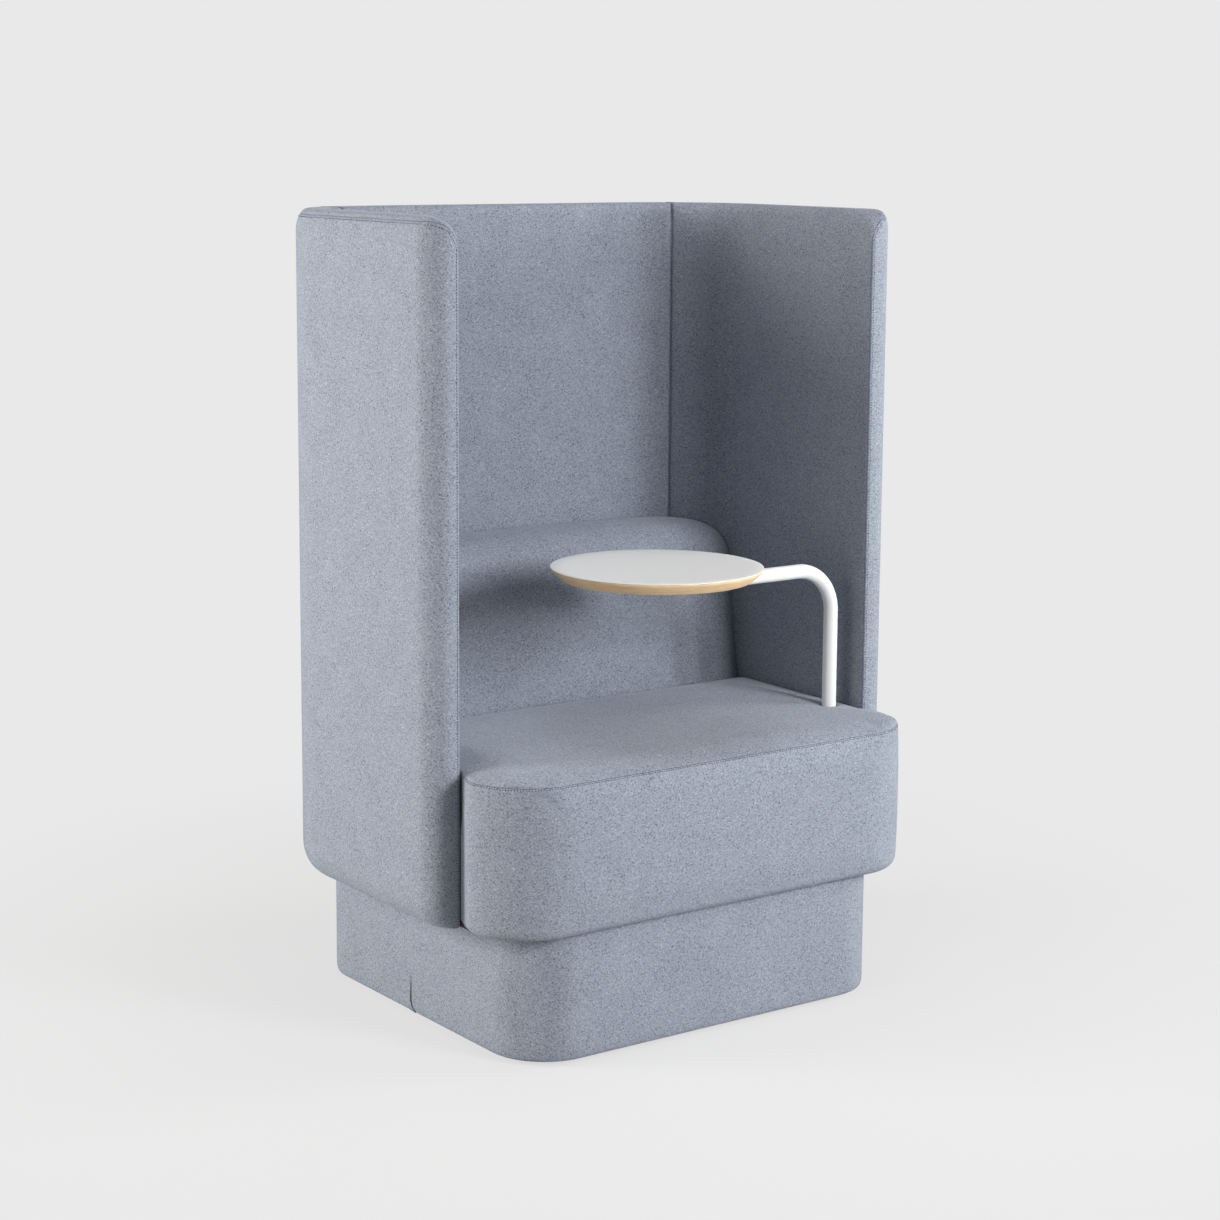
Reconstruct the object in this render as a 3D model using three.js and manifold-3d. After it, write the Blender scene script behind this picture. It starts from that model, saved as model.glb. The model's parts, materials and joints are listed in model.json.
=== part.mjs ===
// Acoustic high back lounge chair: an upholstered U-shaped privacy shell, a seat block and a
// lumbar cushion on an inset plinth, with a small round table on a swivelling bent tube arm.
// Units are millimetres. +Z is up, the sitter faces -Y, and +X is the side of the table post.
// The origin is on the floor, under the middle of the chair's outline.

import * as THREE from 'three';
import { mergeVertices } from 'three/addons/utils/BufferGeometryUtils.js';
import Module from 'manifold-3d';

const wasm = await Module();
wasm.setup();

// Overall sizes
const overallWidth = 954;
const overallDepth = 714;
const overallHeight = 1350;

// Clearances shared by every piece
const fitGap = 0.3;
const softGap = 0.4;
const overrun = 10;

// Plinth
const glideHeight = 8;
const glideRadius = 22;
const glideInset = 96;
const glideChamferShare = 0.25;
const baseWidth = 756;
const baseHeight = 220;
const baseFrontSetback = 22;
const baseBackSetback = 10;
const baseCornerRadius = 104;
const baseCoverThickness = 16;
const baseTuckWidth = 4;
const baseTuckHeight = 14;
const baseBoardThickness = 15;
const baseDeckThickness = 18;
const baseRailThickness = 18;
const baseBoltInsetX = 118;
const baseBoltInsetY = 150;

// Shell of back and side walls
const wallFrontSetback = 149;
const sideWallThickness = 57;
const backWallThickness = 64.5;
const shellOuterRadius = 200;
const shellInnerRadius = 143;
const backSeamAngle = 30;
const noseRadiusShare = 0.7;
const topRoundWidth = 20;
const topRoundHeight = 38;
const topInnerRoundWidth = 10;
const topInnerRoundHeight = 18;
const topFrontInnerHeight = 60;
const topFrontInnerDepth = 90;
const topFrontOuterHeight = 8;
const topFrontOuterDepth = 45;
const bottomRoundWidth = 30;
const bottomRoundHeight = 50;
const bottomFrontRoundWidth = 14;
const bottomFrontRoundHeight = 24;
const shellCoverThickness = 14;
const coreThickness = 15;
const coreFrontSetback = 20;
const coreTopSetback = 36;
const roofDepth = 8;
const frontSeamSetback = 6;
const padBelowSeam = 67;
const battenWidth = 60;
const battenThickness = 18;
const battenTopSetback = 60;
const spacerFrontSetback = 45;
const spacerTopClearance = 5;

// Seat block
const seatWidth = 864;
const seatSeamHeight = 469;
const seatCrownHeight = 16;
const seatFrontCornerRadius = 110;
const seatShoulderLength = 48;
const seatShoulderShares = [0, 0.25, 0.5, 0.75];
const seatFaceBulge = 3;
const seatBottomRoundWidth = 12;
const seatBottomRoundHeight = 18;
const seatBoardThickness = 12;
const seatRailThickness = 18;
const seatFoamDepth = 91;
const seatFrontFoam = 19;
const seatRailReach = 38;
const seatRailCornerCut = 84;
const seatRailCornerAngle = 45;
const shelfThickness = 12;
const webbingThickness = 2.5;
const webbingWidth = 80;
const webbingCount = 3;
const webbingPitch = 230;
const webbingEndLap = 9;

// Lumbar cushion
const backrestFootDepth = 164;
const backrestShoulderDepth = 136;
const backrestShoulderHeight = 698;
const backrestTopDepth = 46;
const backrestTopHeight = 773;
const backrestRearRound = 12;
const backrestEndDrop = 8;
const backrestEndRoundWidth = 18;
const backrestEndRoundLength = 40;
const backrestBoardThickness = 12;
const backrestBoardTopHeight = 690;
const bracketLeg = 60;
const bracketLength = 420;
const bracketThickness = 3;

// Table arm and its socket
const postWallClearance = 51;
const postFrontSetback = 31;
const tubeDiameter = 25;
const tubeWall = 2;
const bendRadius = 76;
const armHeight = 727;
const tableReach = 382;
const armEndSetback = 18;
const bushClearance = 0.3;
const bushWall = 2;
const bushSleeveLength = 26;
const bushFlangeThickness = 2.4;
const cupFloorThickness = 5;
const socketWall = 3;
const socketPlateThickness = 4;
const socketPlateWidth = 80;
const socketPlateSetback = 25;
const socketWebThickness = 6;
const socketScrewShares = [0.17, 0.83];
const socketScrewSideShare = 0.33;
const capThickness = 3;
const capPlugLength = 12;
const cushionHoleClearance = 1.2;

// Table top
const tableDiameter = 357;
const tableUndersideDiameter = 322;
const tableLipHeight = 3;
const tableBoardThickness = 19;
const laminateThickness = 1;
const tablePlateLength = 140;
const tablePlateWidth = 84;
const tablePlateThickness = 4;
const tableScrewSpacingX = 112;
const tableScrewSpacingY = 60;

// Fasteners
const boltRadius = 4;
const boltHeadRadius = 6.5;
const boltHeadHeight = 5;
const boltTipSetback = 1.5;
const shellBoltShares = [0.18, 0.82];
const boltHoleClearance = 0.4;
const screwRadius = 2.2;
const screwHeadRadius = 4.2;
const screwHeadHeight = 2.4;
const screwDepth = 12;
const screwHoleClearance = 0.3;

// Facet counts
const cornerSteps = 8;
const noseSteps = 5;
const innerCornerSteps = 8;
const roundSteps = 32;
const tubeSides = 20;
const boltSides = 16;
const bendSteps = 9;

// Places worked out from the sizes
const halfWidth = overallWidth / 2;
const backY = overallDepth / 2;
const seatFrontY = seatFaceBulge - overallDepth / 2;
const wallFrontY = seatFrontY + wallFrontSetback;
const innerHalf = halfWidth - sideWallThickness;
const innerBackY = backY - backWallThickness;
const shellBottomZ = baseHeight + fitGap;
const padBottomZ = seatSeamHeight - padBelowSeam;
const seatRailTopZ = seatSeamHeight - seatFoamDepth;
const coreOuterInset = shellCoverThickness + fitGap;
const coreInnerInset = coreOuterInset + coreThickness;
const padInset = coreInnerInset + fitGap;
const coreFrontY = wallFrontY + coreFrontSetback;
const coreBottomZ = shellBottomZ + shellCoverThickness;
const coreTopZ = overallHeight - coreTopSetback;
const roofStartZ = overallHeight - roofDepth;
const innerTurnX = innerHalf - shellInnerRadius;
const backSeamX = innerTurnX + shellInnerRadius * Math.sin(THREE.MathUtils.degToRad(backSeamAngle));
const cushionRearY = innerBackY - backrestFootDepth;
const midRailY = [cushionRearY - seatRailThickness, cushionRearY];
const coreSplitX = halfWidth - shellOuterRadius - battenWidth / 2;
const postX = innerHalf - postWallClearance;
const postY = wallFrontY + postFrontSetback;
const tableX = postX - tableReach;
const tubeRadius = tubeDiameter / 2;

// Materials
const fabricColour = 0x8f98a6;
const liningColour = 0x2b2d30;
const plywoodColour = 0xc9a878;
const timberColour = 0xb99465;
const laminateColour = 0xe9e9e6;
const whitePaintColour = 0xf0f0ee;
const steelColour = 0x9a9da1;
const plasticColour = 0x1f2022;
const webbingColour = 0x4a4438;

function finish(color, roughness, metalness = 0) {
  return () => new THREE.MeshStandardMaterial({ color, roughness, metalness });
}

const fabric = finish(fabricColour, 0.95);
const lining = finish(liningColour, 0.9);
const plywood = finish(plywoodColour, 0.7);
const timber = finish(timberColour, 0.75);
const laminate = finish(laminateColour, 0.45);
const whitePaint = finish(whitePaintColour, 0.4, 0.1);
const steel = finish(steelColour, 0.4, 0.9);
const plastic = finish(plasticColour, 0.6);
const webbing = finish(webbingColour, 0.9);

// Solid helpers
function solidOf(geometry) {
  const bare = geometry.clone();
  bare.deleteAttribute('normal');
  bare.deleteAttribute('uv');
  const merged = mergeVertices(bare);
  const vertProperties = Float32Array.from(merged.attributes.position.array);
  const triVerts = Uint32Array.from(merged.index.array);
  return new wasm.Manifold(new wasm.Mesh({ numProp: 3, vertProperties, triVerts }));
}

function geometryOf(solid) {
  const mesh = solid.getMesh();
  const geometry = new THREE.BufferGeometry();
  geometry.setAttribute('position', new THREE.BufferAttribute(mesh.vertProperties, 3));
  geometry.setIndex(new THREE.BufferAttribute(mesh.triVerts, 1));
  return geometry;
}

function slab([x0, x1], [y0, y1], [z0, z1]) {
  const geometry = new THREE.BoxGeometry(x1 - x0, y1 - y0, z1 - z0);
  geometry.translate((x0 + x1) / 2, (y0 + y1) / 2, (z0 + z1) / 2);
  return solidOf(geometry);
}

function upright(radius, x, y, [z0, z1], sides = roundSteps) {
  const geometry = new THREE.CylinderGeometry(radius, radius, z1 - z0, sides);
  geometry.rotateX(Math.PI / 2);
  geometry.translate(x, y, (z0 + z1) / 2);
  return solidOf(geometry);
}

function sideways(radius, [x0, x1], y, z, sides = boltSides) {
  const geometry = new THREE.CylinderGeometry(radius, radius, x1 - x0, sides);
  geometry.rotateZ(Math.PI / 2);
  geometry.translate((x0 + x1) / 2, y, z);
  return solidOf(geometry);
}

// A closed body through rings that hold the same number of points. The first and last flat
// outlines say how the two ends are filled. The rings run anticlockwise, seen from the last end.
function skin(rings, firstFlat, lastFlat) {
  const count = rings[0].length;
  const positions = rings.flat().flatMap((point) => point.toArray());
  const index = [];
  for (let level = 1; level < rings.length; level += 1) {
    const low = (level - 1) * count;
    const high = level * count;
    for (let i = 0; i < count; i += 1) {
      const next = (i + 1) % count;
      index.push(low + i, low + next, high + next);
      index.push(low + i, high + next, high + i);
    }
  }
  addCap(index, firstFlat, 0, false);
  addCap(index, lastFlat, (rings.length - 1) * count, true);
  const geometry = new THREE.BufferGeometry();
  geometry.setAttribute('position', new THREE.Float32BufferAttribute(positions, 3));
  geometry.setIndex(index);
  return solidOf(geometry);
}

// A closed body through a stack of flat outlines
function loft(levels, place) {
  const rings = levels.map(({ outline, at }) => outline.map((point) => place(point.x, point.y, at)));
  return skin(rings, levels[0].outline, levels.at(-1).outline);
}

// The triangles of an anticlockwise outline run anticlockwise too, and are turned round below.
function addCap(index, outline, offset, facesUp) {
  for (const [a, b, c] of THREE.ShapeUtils.triangulateShape(outline, [])) {
    if (facesUp) index.push(offset + a, offset + b, offset + c);
    else index.push(offset + a, offset + c, offset + b);
  }
}

const upwards = (x, y, z) => new THREE.Vector3(x, y, z);
const alongX = (y, z, x) => new THREE.Vector3(x, y, z);

function prism(outline, [z0, z1]) {
  return loft([{ outline, at: z0 }, { outline, at: z1 }], upwards);
}

// Points of an arc from one angle to another, in degrees. A radius of 0 gives one corner point.
function arc(centreX, centreY, radius, from, to, steps) {
  if (radius <= 0) return [new THREE.Vector2(centreX, centreY)];
  const points = [];
  for (let i = 0; i <= steps; i += 1) {
    const angle = THREE.MathUtils.degToRad(from + ((to - from) * i) / steps);
    points.push(new THREE.Vector2(centreX + radius * Math.cos(angle), centreY + radius * Math.sin(angle)));
  }
  return points;
}

// How far a rounded edge of the given height and width steps back at a distance from its end.
function roundInset(distance, height, width) {
  if (distance >= height) return 0;
  const rise = 1 - distance / height;
  return width * (1 - Math.sqrt(1 - rise * rise));
}

// The heights at which a rounded edge is cut, closer together towards its end.
const roundShares = [0, 0.05, 0.16, 0.34, 0.6, 1];

const baseFrontY = seatFrontY + baseFrontSetback;
const baseBackY = backY - baseBackSetback;

// Plan of the plinth
function baseOutline(inset) {
  const half = baseWidth / 2 - inset;
  const front = baseFrontY + inset;
  const back = baseBackY - inset;
  const radius = baseCornerRadius - inset;
  return [
    ...arc(half - radius, front + radius, radius, 270, 360, cornerSteps),
    ...arc(half - radius, back - radius, radius, 0, 90, cornerSteps),
    ...arc(radius - half, back - radius, radius, 90, 180, cornerSteps),
    ...arc(radius - half, front + radius, radius, 180, 270, cornerSteps),
  ];
}

const baseDeckZ = [baseHeight - baseDeckThickness, baseHeight];
const baseBoardZ = [glideHeight + fitGap, glideHeight + fitGap + baseBoardThickness];
const baseRailZ = [baseBoardZ[1] + fitGap, baseDeckZ[0] - fitGap];

function fourPlaces([x0, x1], [y0, y1]) {
  return [[x0, y0], [x0, y1], [x1, y0], [x1, y1]];
}

const baseBoltX = baseWidth / 2 - baseBoltInsetX;
const baseBoltPlaces = fourPlaces(
  [-baseBoltX, baseBoltX],
  [baseFrontY + baseBoltInsetY, baseBackY - baseBoltInsetY],
);

function boltHoles(solid, zRange) {
  let drilled = solid;
  for (const [x, y] of baseBoltPlaces) {
    const hole = upright(boltRadius + boltHoleClearance, x, y, zRange, boltSides);
    drilled = drilled.subtract(hole);
  }
  return drilled;
}

function makeBaseCover() {
  const levels = roundShares.map((share) => {
    const distance = share * baseTuckHeight;
    const inset = roundInset(distance, baseTuckHeight, baseTuckWidth);
    return { outline: baseOutline(inset), at: glideHeight + distance };
  });
  levels.push({ outline: baseOutline(0), at: baseHeight });
  const inside = prism(baseOutline(baseCoverThickness), [glideHeight - overrun, baseHeight + overrun]);
  return loft(levels, upwards).subtract(inside);
}

function makeBaseBoard() {
  return prism(baseOutline(baseCoverThickness + fitGap), baseBoardZ);
}

function makeBaseDeck() {
  const deck = prism(baseOutline(baseCoverThickness + fitGap), baseDeckZ);
  return boltHoles(deck, [baseDeckZ[0] - overrun, baseDeckZ[1] + overrun]);
}

function makeBaseSideRail(side) {
  const outer = baseWidth / 2 - baseCoverThickness - fitGap;
  const xs = [side * outer, side * (outer - baseRailThickness)].sort((a, b) => a - b);
  const front = baseFrontY + baseCornerRadius;
  const back = baseBackY - baseCornerRadius;
  return slab(xs, [front, back], baseRailZ);
}

function makeBaseCrossRail(outerY, inward) {
  const half = baseWidth / 2 - baseCornerRadius;
  const start = outerY + inward * (baseCoverThickness + fitGap);
  const ys = [start, start + inward * baseRailThickness].sort((a, b) => a - b);
  return slab([-half, half], ys, baseRailZ);
}

function makeGlide(x, y) {
  const chamfer = glideHeight * glideChamferShare;
  const profile = [
    new THREE.Vector2(0, 0),
    new THREE.Vector2(glideRadius - chamfer, 0),
    new THREE.Vector2(glideRadius, chamfer),
    new THREE.Vector2(glideRadius, glideHeight),
    new THREE.Vector2(0, glideHeight),
  ];
  const geometry = new THREE.LatheGeometry(profile, roundSteps);
  geometry.rotateX(Math.PI / 2);
  geometry.translate(x, y, 0);
  return solidOf(geometry);
}

// Plan of the U-shaped wall, between an outer and an inner face
const outerFace = (inset) => ({
  half: halfWidth - inset,
  back: backY - inset,
  radius: shellOuterRadius - inset,
});
const innerFace = (inset) => ({
  half: innerHalf + inset,
  back: innerBackY + inset,
  radius: shellInnerRadius + inset,
});

function wallOutline(outer, inner, frontY, noseRadius = 0, innerFrontY = frontY) {
  const noseX = outer.half - noseRadius;
  const noseY = frontY + noseRadius;
  const turnX = outer.half - outer.radius;
  const turnY = outer.back - outer.radius;
  const bendX = inner.half - inner.radius;
  const bendY = inner.back - inner.radius;
  return [
    ...arc(noseX, noseY, noseRadius, 270, 360, noseSteps),
    ...arc(turnX, turnY, outer.radius, 0, 90, cornerSteps),
    ...arc(-turnX, turnY, outer.radius, 90, 180, cornerSteps),
    ...arc(-noseX, noseY, noseRadius, 180, 270, noseSteps),
    new THREE.Vector2(-inner.half, innerFrontY),
    ...arc(-bendX, bendY, inner.radius, 180, 90, innerCornerSteps),
    ...arc(bendX, bendY, inner.radius, 90, 0, innerCornerSteps),
    new THREE.Vector2(inner.half, innerFrontY),
  ];
}

// Plan of what fills the bay inside the U, from a front line back to the rounded rear corners
function bayOutline(inset, frontY) {
  const face = innerFace(-inset);
  const bendX = face.half - face.radius;
  const bendY = face.back - face.radius;
  return [
    new THREE.Vector2(-face.half, frontY),
    new THREE.Vector2(face.half, frontY),
    ...arc(bendX, bendY, face.radius, 0, 90, innerCornerSteps),
    ...arc(-bendX, bendY, face.radius, 90, 180, innerCornerSteps),
  ];
}

// At the top of the nose the inner corner falls back further than the outer one.
function wallLevel(z) {
  const fromTop = overallHeight - z;
  const fromBottom = z - shellBottomZ;
  const outerInset = roundInset(fromTop, topRoundHeight, topRoundWidth)
    + roundInset(fromBottom, bottomRoundHeight, bottomRoundWidth);
  const innerInset = roundInset(fromTop, topInnerRoundHeight, topInnerRoundWidth);
  const frontY = wallFrontY + roundInset(fromBottom, bottomFrontRoundHeight, bottomFrontRoundWidth);
  const outerFrontY = frontY + roundInset(fromTop, topFrontOuterHeight, topFrontOuterDepth);
  const innerFrontY = frontY + roundInset(fromTop, topFrontInnerHeight, topFrontInnerDepth);
  const outer = outerFace(outerInset);
  const inner = innerFace(innerInset);
  const noseRadius = (outer.half - inner.half) * noseRadiusShare;
  return { outline: wallOutline(outer, inner, outerFrontY, noseRadius, innerFrontY), at: z };
}

function makeWholeWall() {
  const lowZ = roundShares.map((share) => shellBottomZ + share * bottomRoundHeight);
  const highZ = roundShares.map((share) => overallHeight - share * topFrontInnerHeight).reverse();
  return loft([...lowZ, ...highZ].map(wallLevel), upwards);
}

function coreSpace(gap) {
  const outline = wallOutline(
    outerFace(coreOuterInset - gap),
    outerFace(coreInnerInset + gap),
    coreFrontY - gap,
  );
  return prism(outline, [coreBottomZ - gap, coreTopZ + gap]);
}

// The space of the inner pads: the inner band of the wall, and a roof over the whole of its top
function padSpace(gap) {
  const reach = overrun + gap;
  const band = wallOutline(
    outerFace(padInset - gap),
    innerFace(-reach),
    wallFrontY + frontSeamSetback - gap,
  );
  const roof = wallOutline(outerFace(-reach), innerFace(-reach), wallFrontY - reach);
  const topZ = overallHeight + reach;
  return prism(band, [padBottomZ - gap, topZ]).add(prism(roof, [roofStartZ - gap, topZ]));
}

function lowerPocket() {
  const outline = wallOutline(
    outerFace(coreOuterInset - fitGap),
    innerFace(-overrun),
    coreFrontY - fitGap,
  );
  return prism(outline, [coreBottomZ - fitGap, padBottomZ]);
}

function battenSpace(side, gap) {
  const middle = side * coreSplitX;
  const rearY = backY - padInset;
  return slab(
    [middle - battenWidth / 2 - gap, middle + battenWidth / 2 + gap],
    [rearY - battenThickness - gap, rearY + gap],
    [coreBottomZ - gap, coreTopZ - battenTopSetback + gap],
  );
}

const wholeWall = makeWholeWall();

function makeShellCover() {
  return wholeWall.subtract(padSpace(fitGap)).subtract(coreSpace(fitGap)).subtract(lowerPocket());
}

function makePad(xRange) {
  const reach = overallHeight + overrun;
  let pad = wholeWall.intersect(padSpace(0)).intersect(slab(xRange, [-reach, reach], [0, reach]));
  for (const side of [-1, 1]) pad = pad.subtract(battenSpace(side, fitGap));
  return pad;
}

// Bolts that hold each side wall to the seat frame
const spacerFrontY = coreFrontY + spacerFrontSetback;
const shellBoltY = shellBoltShares.map((share) => THREE.MathUtils.lerp(spacerFrontY, midRailY[0], share));
const seatBoardZ = [shellBottomZ, shellBottomZ + seatBoardThickness];
const seatRailZ = [seatBoardZ[1] + fitGap, seatRailTopZ];
const railOuterX = innerHalf - 2 * fitGap;
const railInnerX = railOuterX - seatRailThickness;
const shellBoltZ = (seatRailZ[0] + seatRailZ[1]) / 2;
const shellBoltTipX = halfWidth - coreOuterInset - boltTipSetback;

function shellBoltHoles(solid, side) {
  let drilled = solid;
  const xs = [side * (railInnerX - overrun), side * (shellBoltTipX + fitGap)].sort((a, b) => a - b);
  for (const y of shellBoltY) {
    drilled = drilled.subtract(sideways(boltRadius + boltHoleClearance, xs, y, shellBoltZ));
  }
  return drilled;
}

function makeShellBolt(side, y) {
  const headX = side * (railInnerX - fitGap);
  const shank = [headX, side * shellBoltTipX].sort((a, b) => a - b);
  const head = [headX - side * boltHeadHeight, headX].sort((a, b) => a - b);
  return sideways(boltRadius, shank, y, shellBoltZ).add(sideways(boltHeadRadius, head, y, shellBoltZ));
}

function makeCore(part) {
  const reach = overallHeight + overrun;
  const ranges = {
    left: [-reach, -coreSplitX - fitGap / 2],
    back: [-coreSplitX + fitGap / 2, coreSplitX - fitGap / 2],
    right: [coreSplitX + fitGap / 2, reach],
  };
  const core = coreSpace(0).intersect(slab(ranges[part], [-reach, reach], [0, reach]));
  if (part === 'back') return core;
  return shellBoltHoles(core, part === 'left' ? -1 : 1);
}

const spacerZ = [coreBottomZ + fitGap, padBottomZ - spacerTopClearance];

function makeSideSpacer(side) {
  const outer = halfWidth - padInset;
  const xs = [side * (innerHalf - fitGap), side * outer].sort((a, b) => a - b);
  const ys = [spacerFrontY, backY - shellOuterRadius];
  return shellBoltHoles(slab(xs, ys, spacerZ), side);
}

function makeBackSpacer() {
  const half = coreSplitX - battenWidth / 2 - fitGap;
  return slab([-half, half], [innerBackY - fitGap, backY - padInset], spacerZ);
}

// Seat frame
const seatRearY = innerBackY - 2 * fitGap;
const frameFrontY = seatFrontY + seatFrontFoam;
const railEndY = wallFrontY - seatRailReach;

// Plan of the seat frame. Its two front corners are cut off at half a right angle.
function frameOutline(inset) {
  const side = railOuterX - inset;
  const cut = seatRailCornerCut + inset * Math.tan(THREE.MathUtils.degToRad(seatRailCornerAngle / 2));
  const rear = bayOutline(innerHalf - side, frameFrontY).slice(2);
  return [
    new THREE.Vector2(side, frameFrontY + cut),
    ...rear,
    new THREE.Vector2(-side, frameFrontY + cut),
    new THREE.Vector2(cut - railOuterX, frameFrontY + inset),
    new THREE.Vector2(railOuterX - cut, frameFrontY + inset),
  ];
}

function makeSeatBoard() {
  const board = prism(frameOutline(0), seatBoardZ);
  return boltHoles(board, [seatBoardZ[0] - overrun, seatBoardZ[1] + overrun]);
}

function makeSeatFrontRail() {
  const ring = prism(frameOutline(0), seatRailZ);
  const hollow = prism(frameOutline(seatRailThickness), [seatRailZ[0] - overrun, seatRailZ[1] + overrun]);
  const reach = overallHeight;
  const rear = slab([-reach, reach], [railEndY - fitGap, reach], [0, reach]);
  return ring.subtract(hollow).subtract(rear);
}

function makeSeatSideRail(side) {
  const xs = [side * railOuterX, side * railInnerX].sort((a, b) => a - b);
  const rearY = innerBackY - shellInnerRadius;
  let rail = shellBoltHoles(slab(xs, [railEndY, rearY], seatRailZ), side);
  if (side > 0) rail = rail.subtract(socketScrewHoles());
  return rail;
}

function makeSeatCrossRail(half, yRange) {
  return slab([-half, half], yRange, seatRailZ);
}

const shelfZ = [seatRailTopZ + fitGap, seatRailTopZ + fitGap + shelfThickness];

function makeShelf() {
  return prism(bayOutline(2 * fitGap, cushionRearY + fitGap), shelfZ);
}

const webbingZ = [seatRailTopZ + fitGap, seatRailTopZ + fitGap + webbingThickness];
const cushionUndersideZ = webbingZ[1] + softGap;

function makeWebbing(number) {
  const middle = (number - (webbingCount - 1) / 2) * webbingPitch;
  const ys = [frameFrontY + webbingEndLap, cushionRearY - webbingEndLap];
  return slab([middle - webbingWidth / 2, middle + webbingWidth / 2], ys, webbingZ);
}

// Plan of the seat cushion: as wide as the bay between the walls, wider in front of them
function seatOutline(inset) {
  const bayHalf = innerHalf - softGap - Math.max(inset, 0);
  const half = seatWidth / 2 - inset;
  const radius = seatFrontCornerRadius - inset;
  const front = seatFrontY + inset;
  const rear = cushionRearY - softGap - Math.max(inset, 0);
  const shoulderTop = wallFrontY - softGap;
  const right = seatShoulderShares.map((share) => new THREE.Vector2(
    bayHalf + (half - bayHalf) * THREE.MathUtils.smoothstep(share, 0, 1),
    shoulderTop - share * seatShoulderLength,
  ));
  const left = right.map((point) => new THREE.Vector2(-point.x, point.y));
  return [
    ...arc(half - radius, front + radius, radius, 270, 360, cornerSteps),
    ...right.reverse(),
    new THREE.Vector2(bayHalf, rear),
    new THREE.Vector2(-bayHalf, rear),
    ...left,
    ...arc(radius - half, front + radius, radius, 180, 270, cornerSteps),
  ];
}

function shrunkOutline(outline, share) {
  const middleY = (cushionRearY + seatFrontY) / 2;
  return outline.map((point) => new THREE.Vector2(
    point.x * (1 - share),
    middleY + (point.y - middleY) * (1 - share),
  ));
}

// The crown: how far each ring is drawn in, and how high it stands, as shares
const crownRingShares = [0.006, 0.016, 0.034, 0.07, 0.15, 0.3, 0.5, 0.75];
const crownHeightShares = [0.2, 0.38, 0.52, 0.64, 0.78, 0.9, 0.97, 1];

function makeSeatBody() {
  const levels = roundShares.map((share) => {
    const distance = share * seatBottomRoundHeight;
    const inset = roundInset(distance, seatBottomRoundHeight, seatBottomRoundWidth);
    return { outline: seatOutline(inset), at: shellBottomZ + distance };
  });
  const middleZ = (shellBottomZ + seatSeamHeight) / 2;
  levels.push({ outline: seatOutline(-seatFaceBulge), at: middleZ });
  levels.push({ outline: seatOutline(0), at: seatSeamHeight });
  crownRingShares.forEach((share, i) => {
    const outline = shrunkOutline(seatOutline(0), share);
    levels.push({ outline, at: seatSeamHeight + crownHeightShares[i] * seatCrownHeight });
  });
  return loft(levels, upwards);
}

function makeSeatCushion() {
  const reach = overallHeight;
  const bay = slab([-reach, reach], [wallFrontY - softGap, reach], [0, cushionUndersideZ]);
  const frame = prism(frameOutline(-softGap), [0, cushionUndersideZ]);
  const hole = upright(tubeRadius + cushionHoleClearance, postX, postY, [0, reach]);
  return makeSeatBody().subtract(bay).subtract(frame).subtract(hole);
}

// Lumbar cushion: its outline in side view, at a place along its length
function backrestOutline(x) {
  const half = innerHalf - softGap;
  const fromEnd = half - Math.abs(x);
  const drop = backrestEndDrop * (x / half) ** 2;
  const frontInset = roundInset(fromEnd, backrestEndRoundLength, backrestEndRoundWidth);
  const rearY = innerBackY - softGap;
  const footY = cushionRearY + softGap + frontInset;
  const shoulderY = innerBackY - backrestShoulderDepth + frontInset;
  const topY = innerBackY - backrestTopDepth;
  const topZ = backrestTopHeight - drop;
  const shoulderZ = backrestShoulderHeight - drop;
  const bottomZ = shelfZ[1] + fitGap;
  const roundY = rearY - backrestRearRound;
  const rear = arc(roundY, topZ - backrestRearRound, backrestRearRound, 0, 90, noseSteps);
  const front = [];
  for (let i = 0; i <= cornerSteps; i += 1) {
    const angle = (Math.PI / 2) * (i / cornerSteps);
    front.push(new THREE.Vector2(
      topY + (shoulderY - topY) * Math.sin(angle),
      shoulderZ + (topZ - shoulderZ) * Math.cos(angle),
    ));
  }
  return [new THREE.Vector2(footY, bottomZ), new THREE.Vector2(rearY, bottomZ), ...rear, ...front];
}

const backrestStationShares = [0, 0.36, 0.64, 0.82, 0.9, 0.945, 0.97, 0.99, 1];

function backrestBoardSpace(gap) {
  const half = innerTurnX + gap;
  const rearY = innerBackY - softGap;
  return slab(
    [-half, half],
    [rearY - backrestBoardThickness - gap, rearY + gap],
    [shelfZ[1] + fitGap - gap, backrestBoardTopHeight + gap],
  );
}

function bracketSpace(gap) {
  const xs = [-bracketLength / 2 - gap, bracketLength / 2 + gap];
  const rearY = innerBackY - softGap - backrestBoardThickness - fitGap;
  const lowZ = shelfZ[1] + fitGap;
  const legZ = [lowZ - gap, lowZ + bracketLeg + gap];
  const footZ = [lowZ - gap, lowZ + bracketThickness + gap];
  const upLeg = slab(xs, [rearY - bracketThickness - gap, rearY + gap], legZ);
  const foot = slab(xs, [rearY - bracketLeg - gap, rearY + gap], footZ);
  return upLeg.add(foot);
}

function makeBackrestCushion() {
  const half = innerHalf - softGap;
  const stations = [
    ...backrestStationShares.slice(1).map((share) => -share * half).reverse(),
    ...backrestStationShares.map((share) => share * half),
  ];
  const whole = loft(stations.map((x) => ({ outline: backrestOutline(x), at: x })), alongX);
  const bay = prism(bayOutline(softGap, wallFrontY), [0, overallHeight]);
  const cushion = whole.intersect(bay);
  return cushion.subtract(backrestBoardSpace(softGap)).subtract(bracketSpace(softGap));
}

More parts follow.
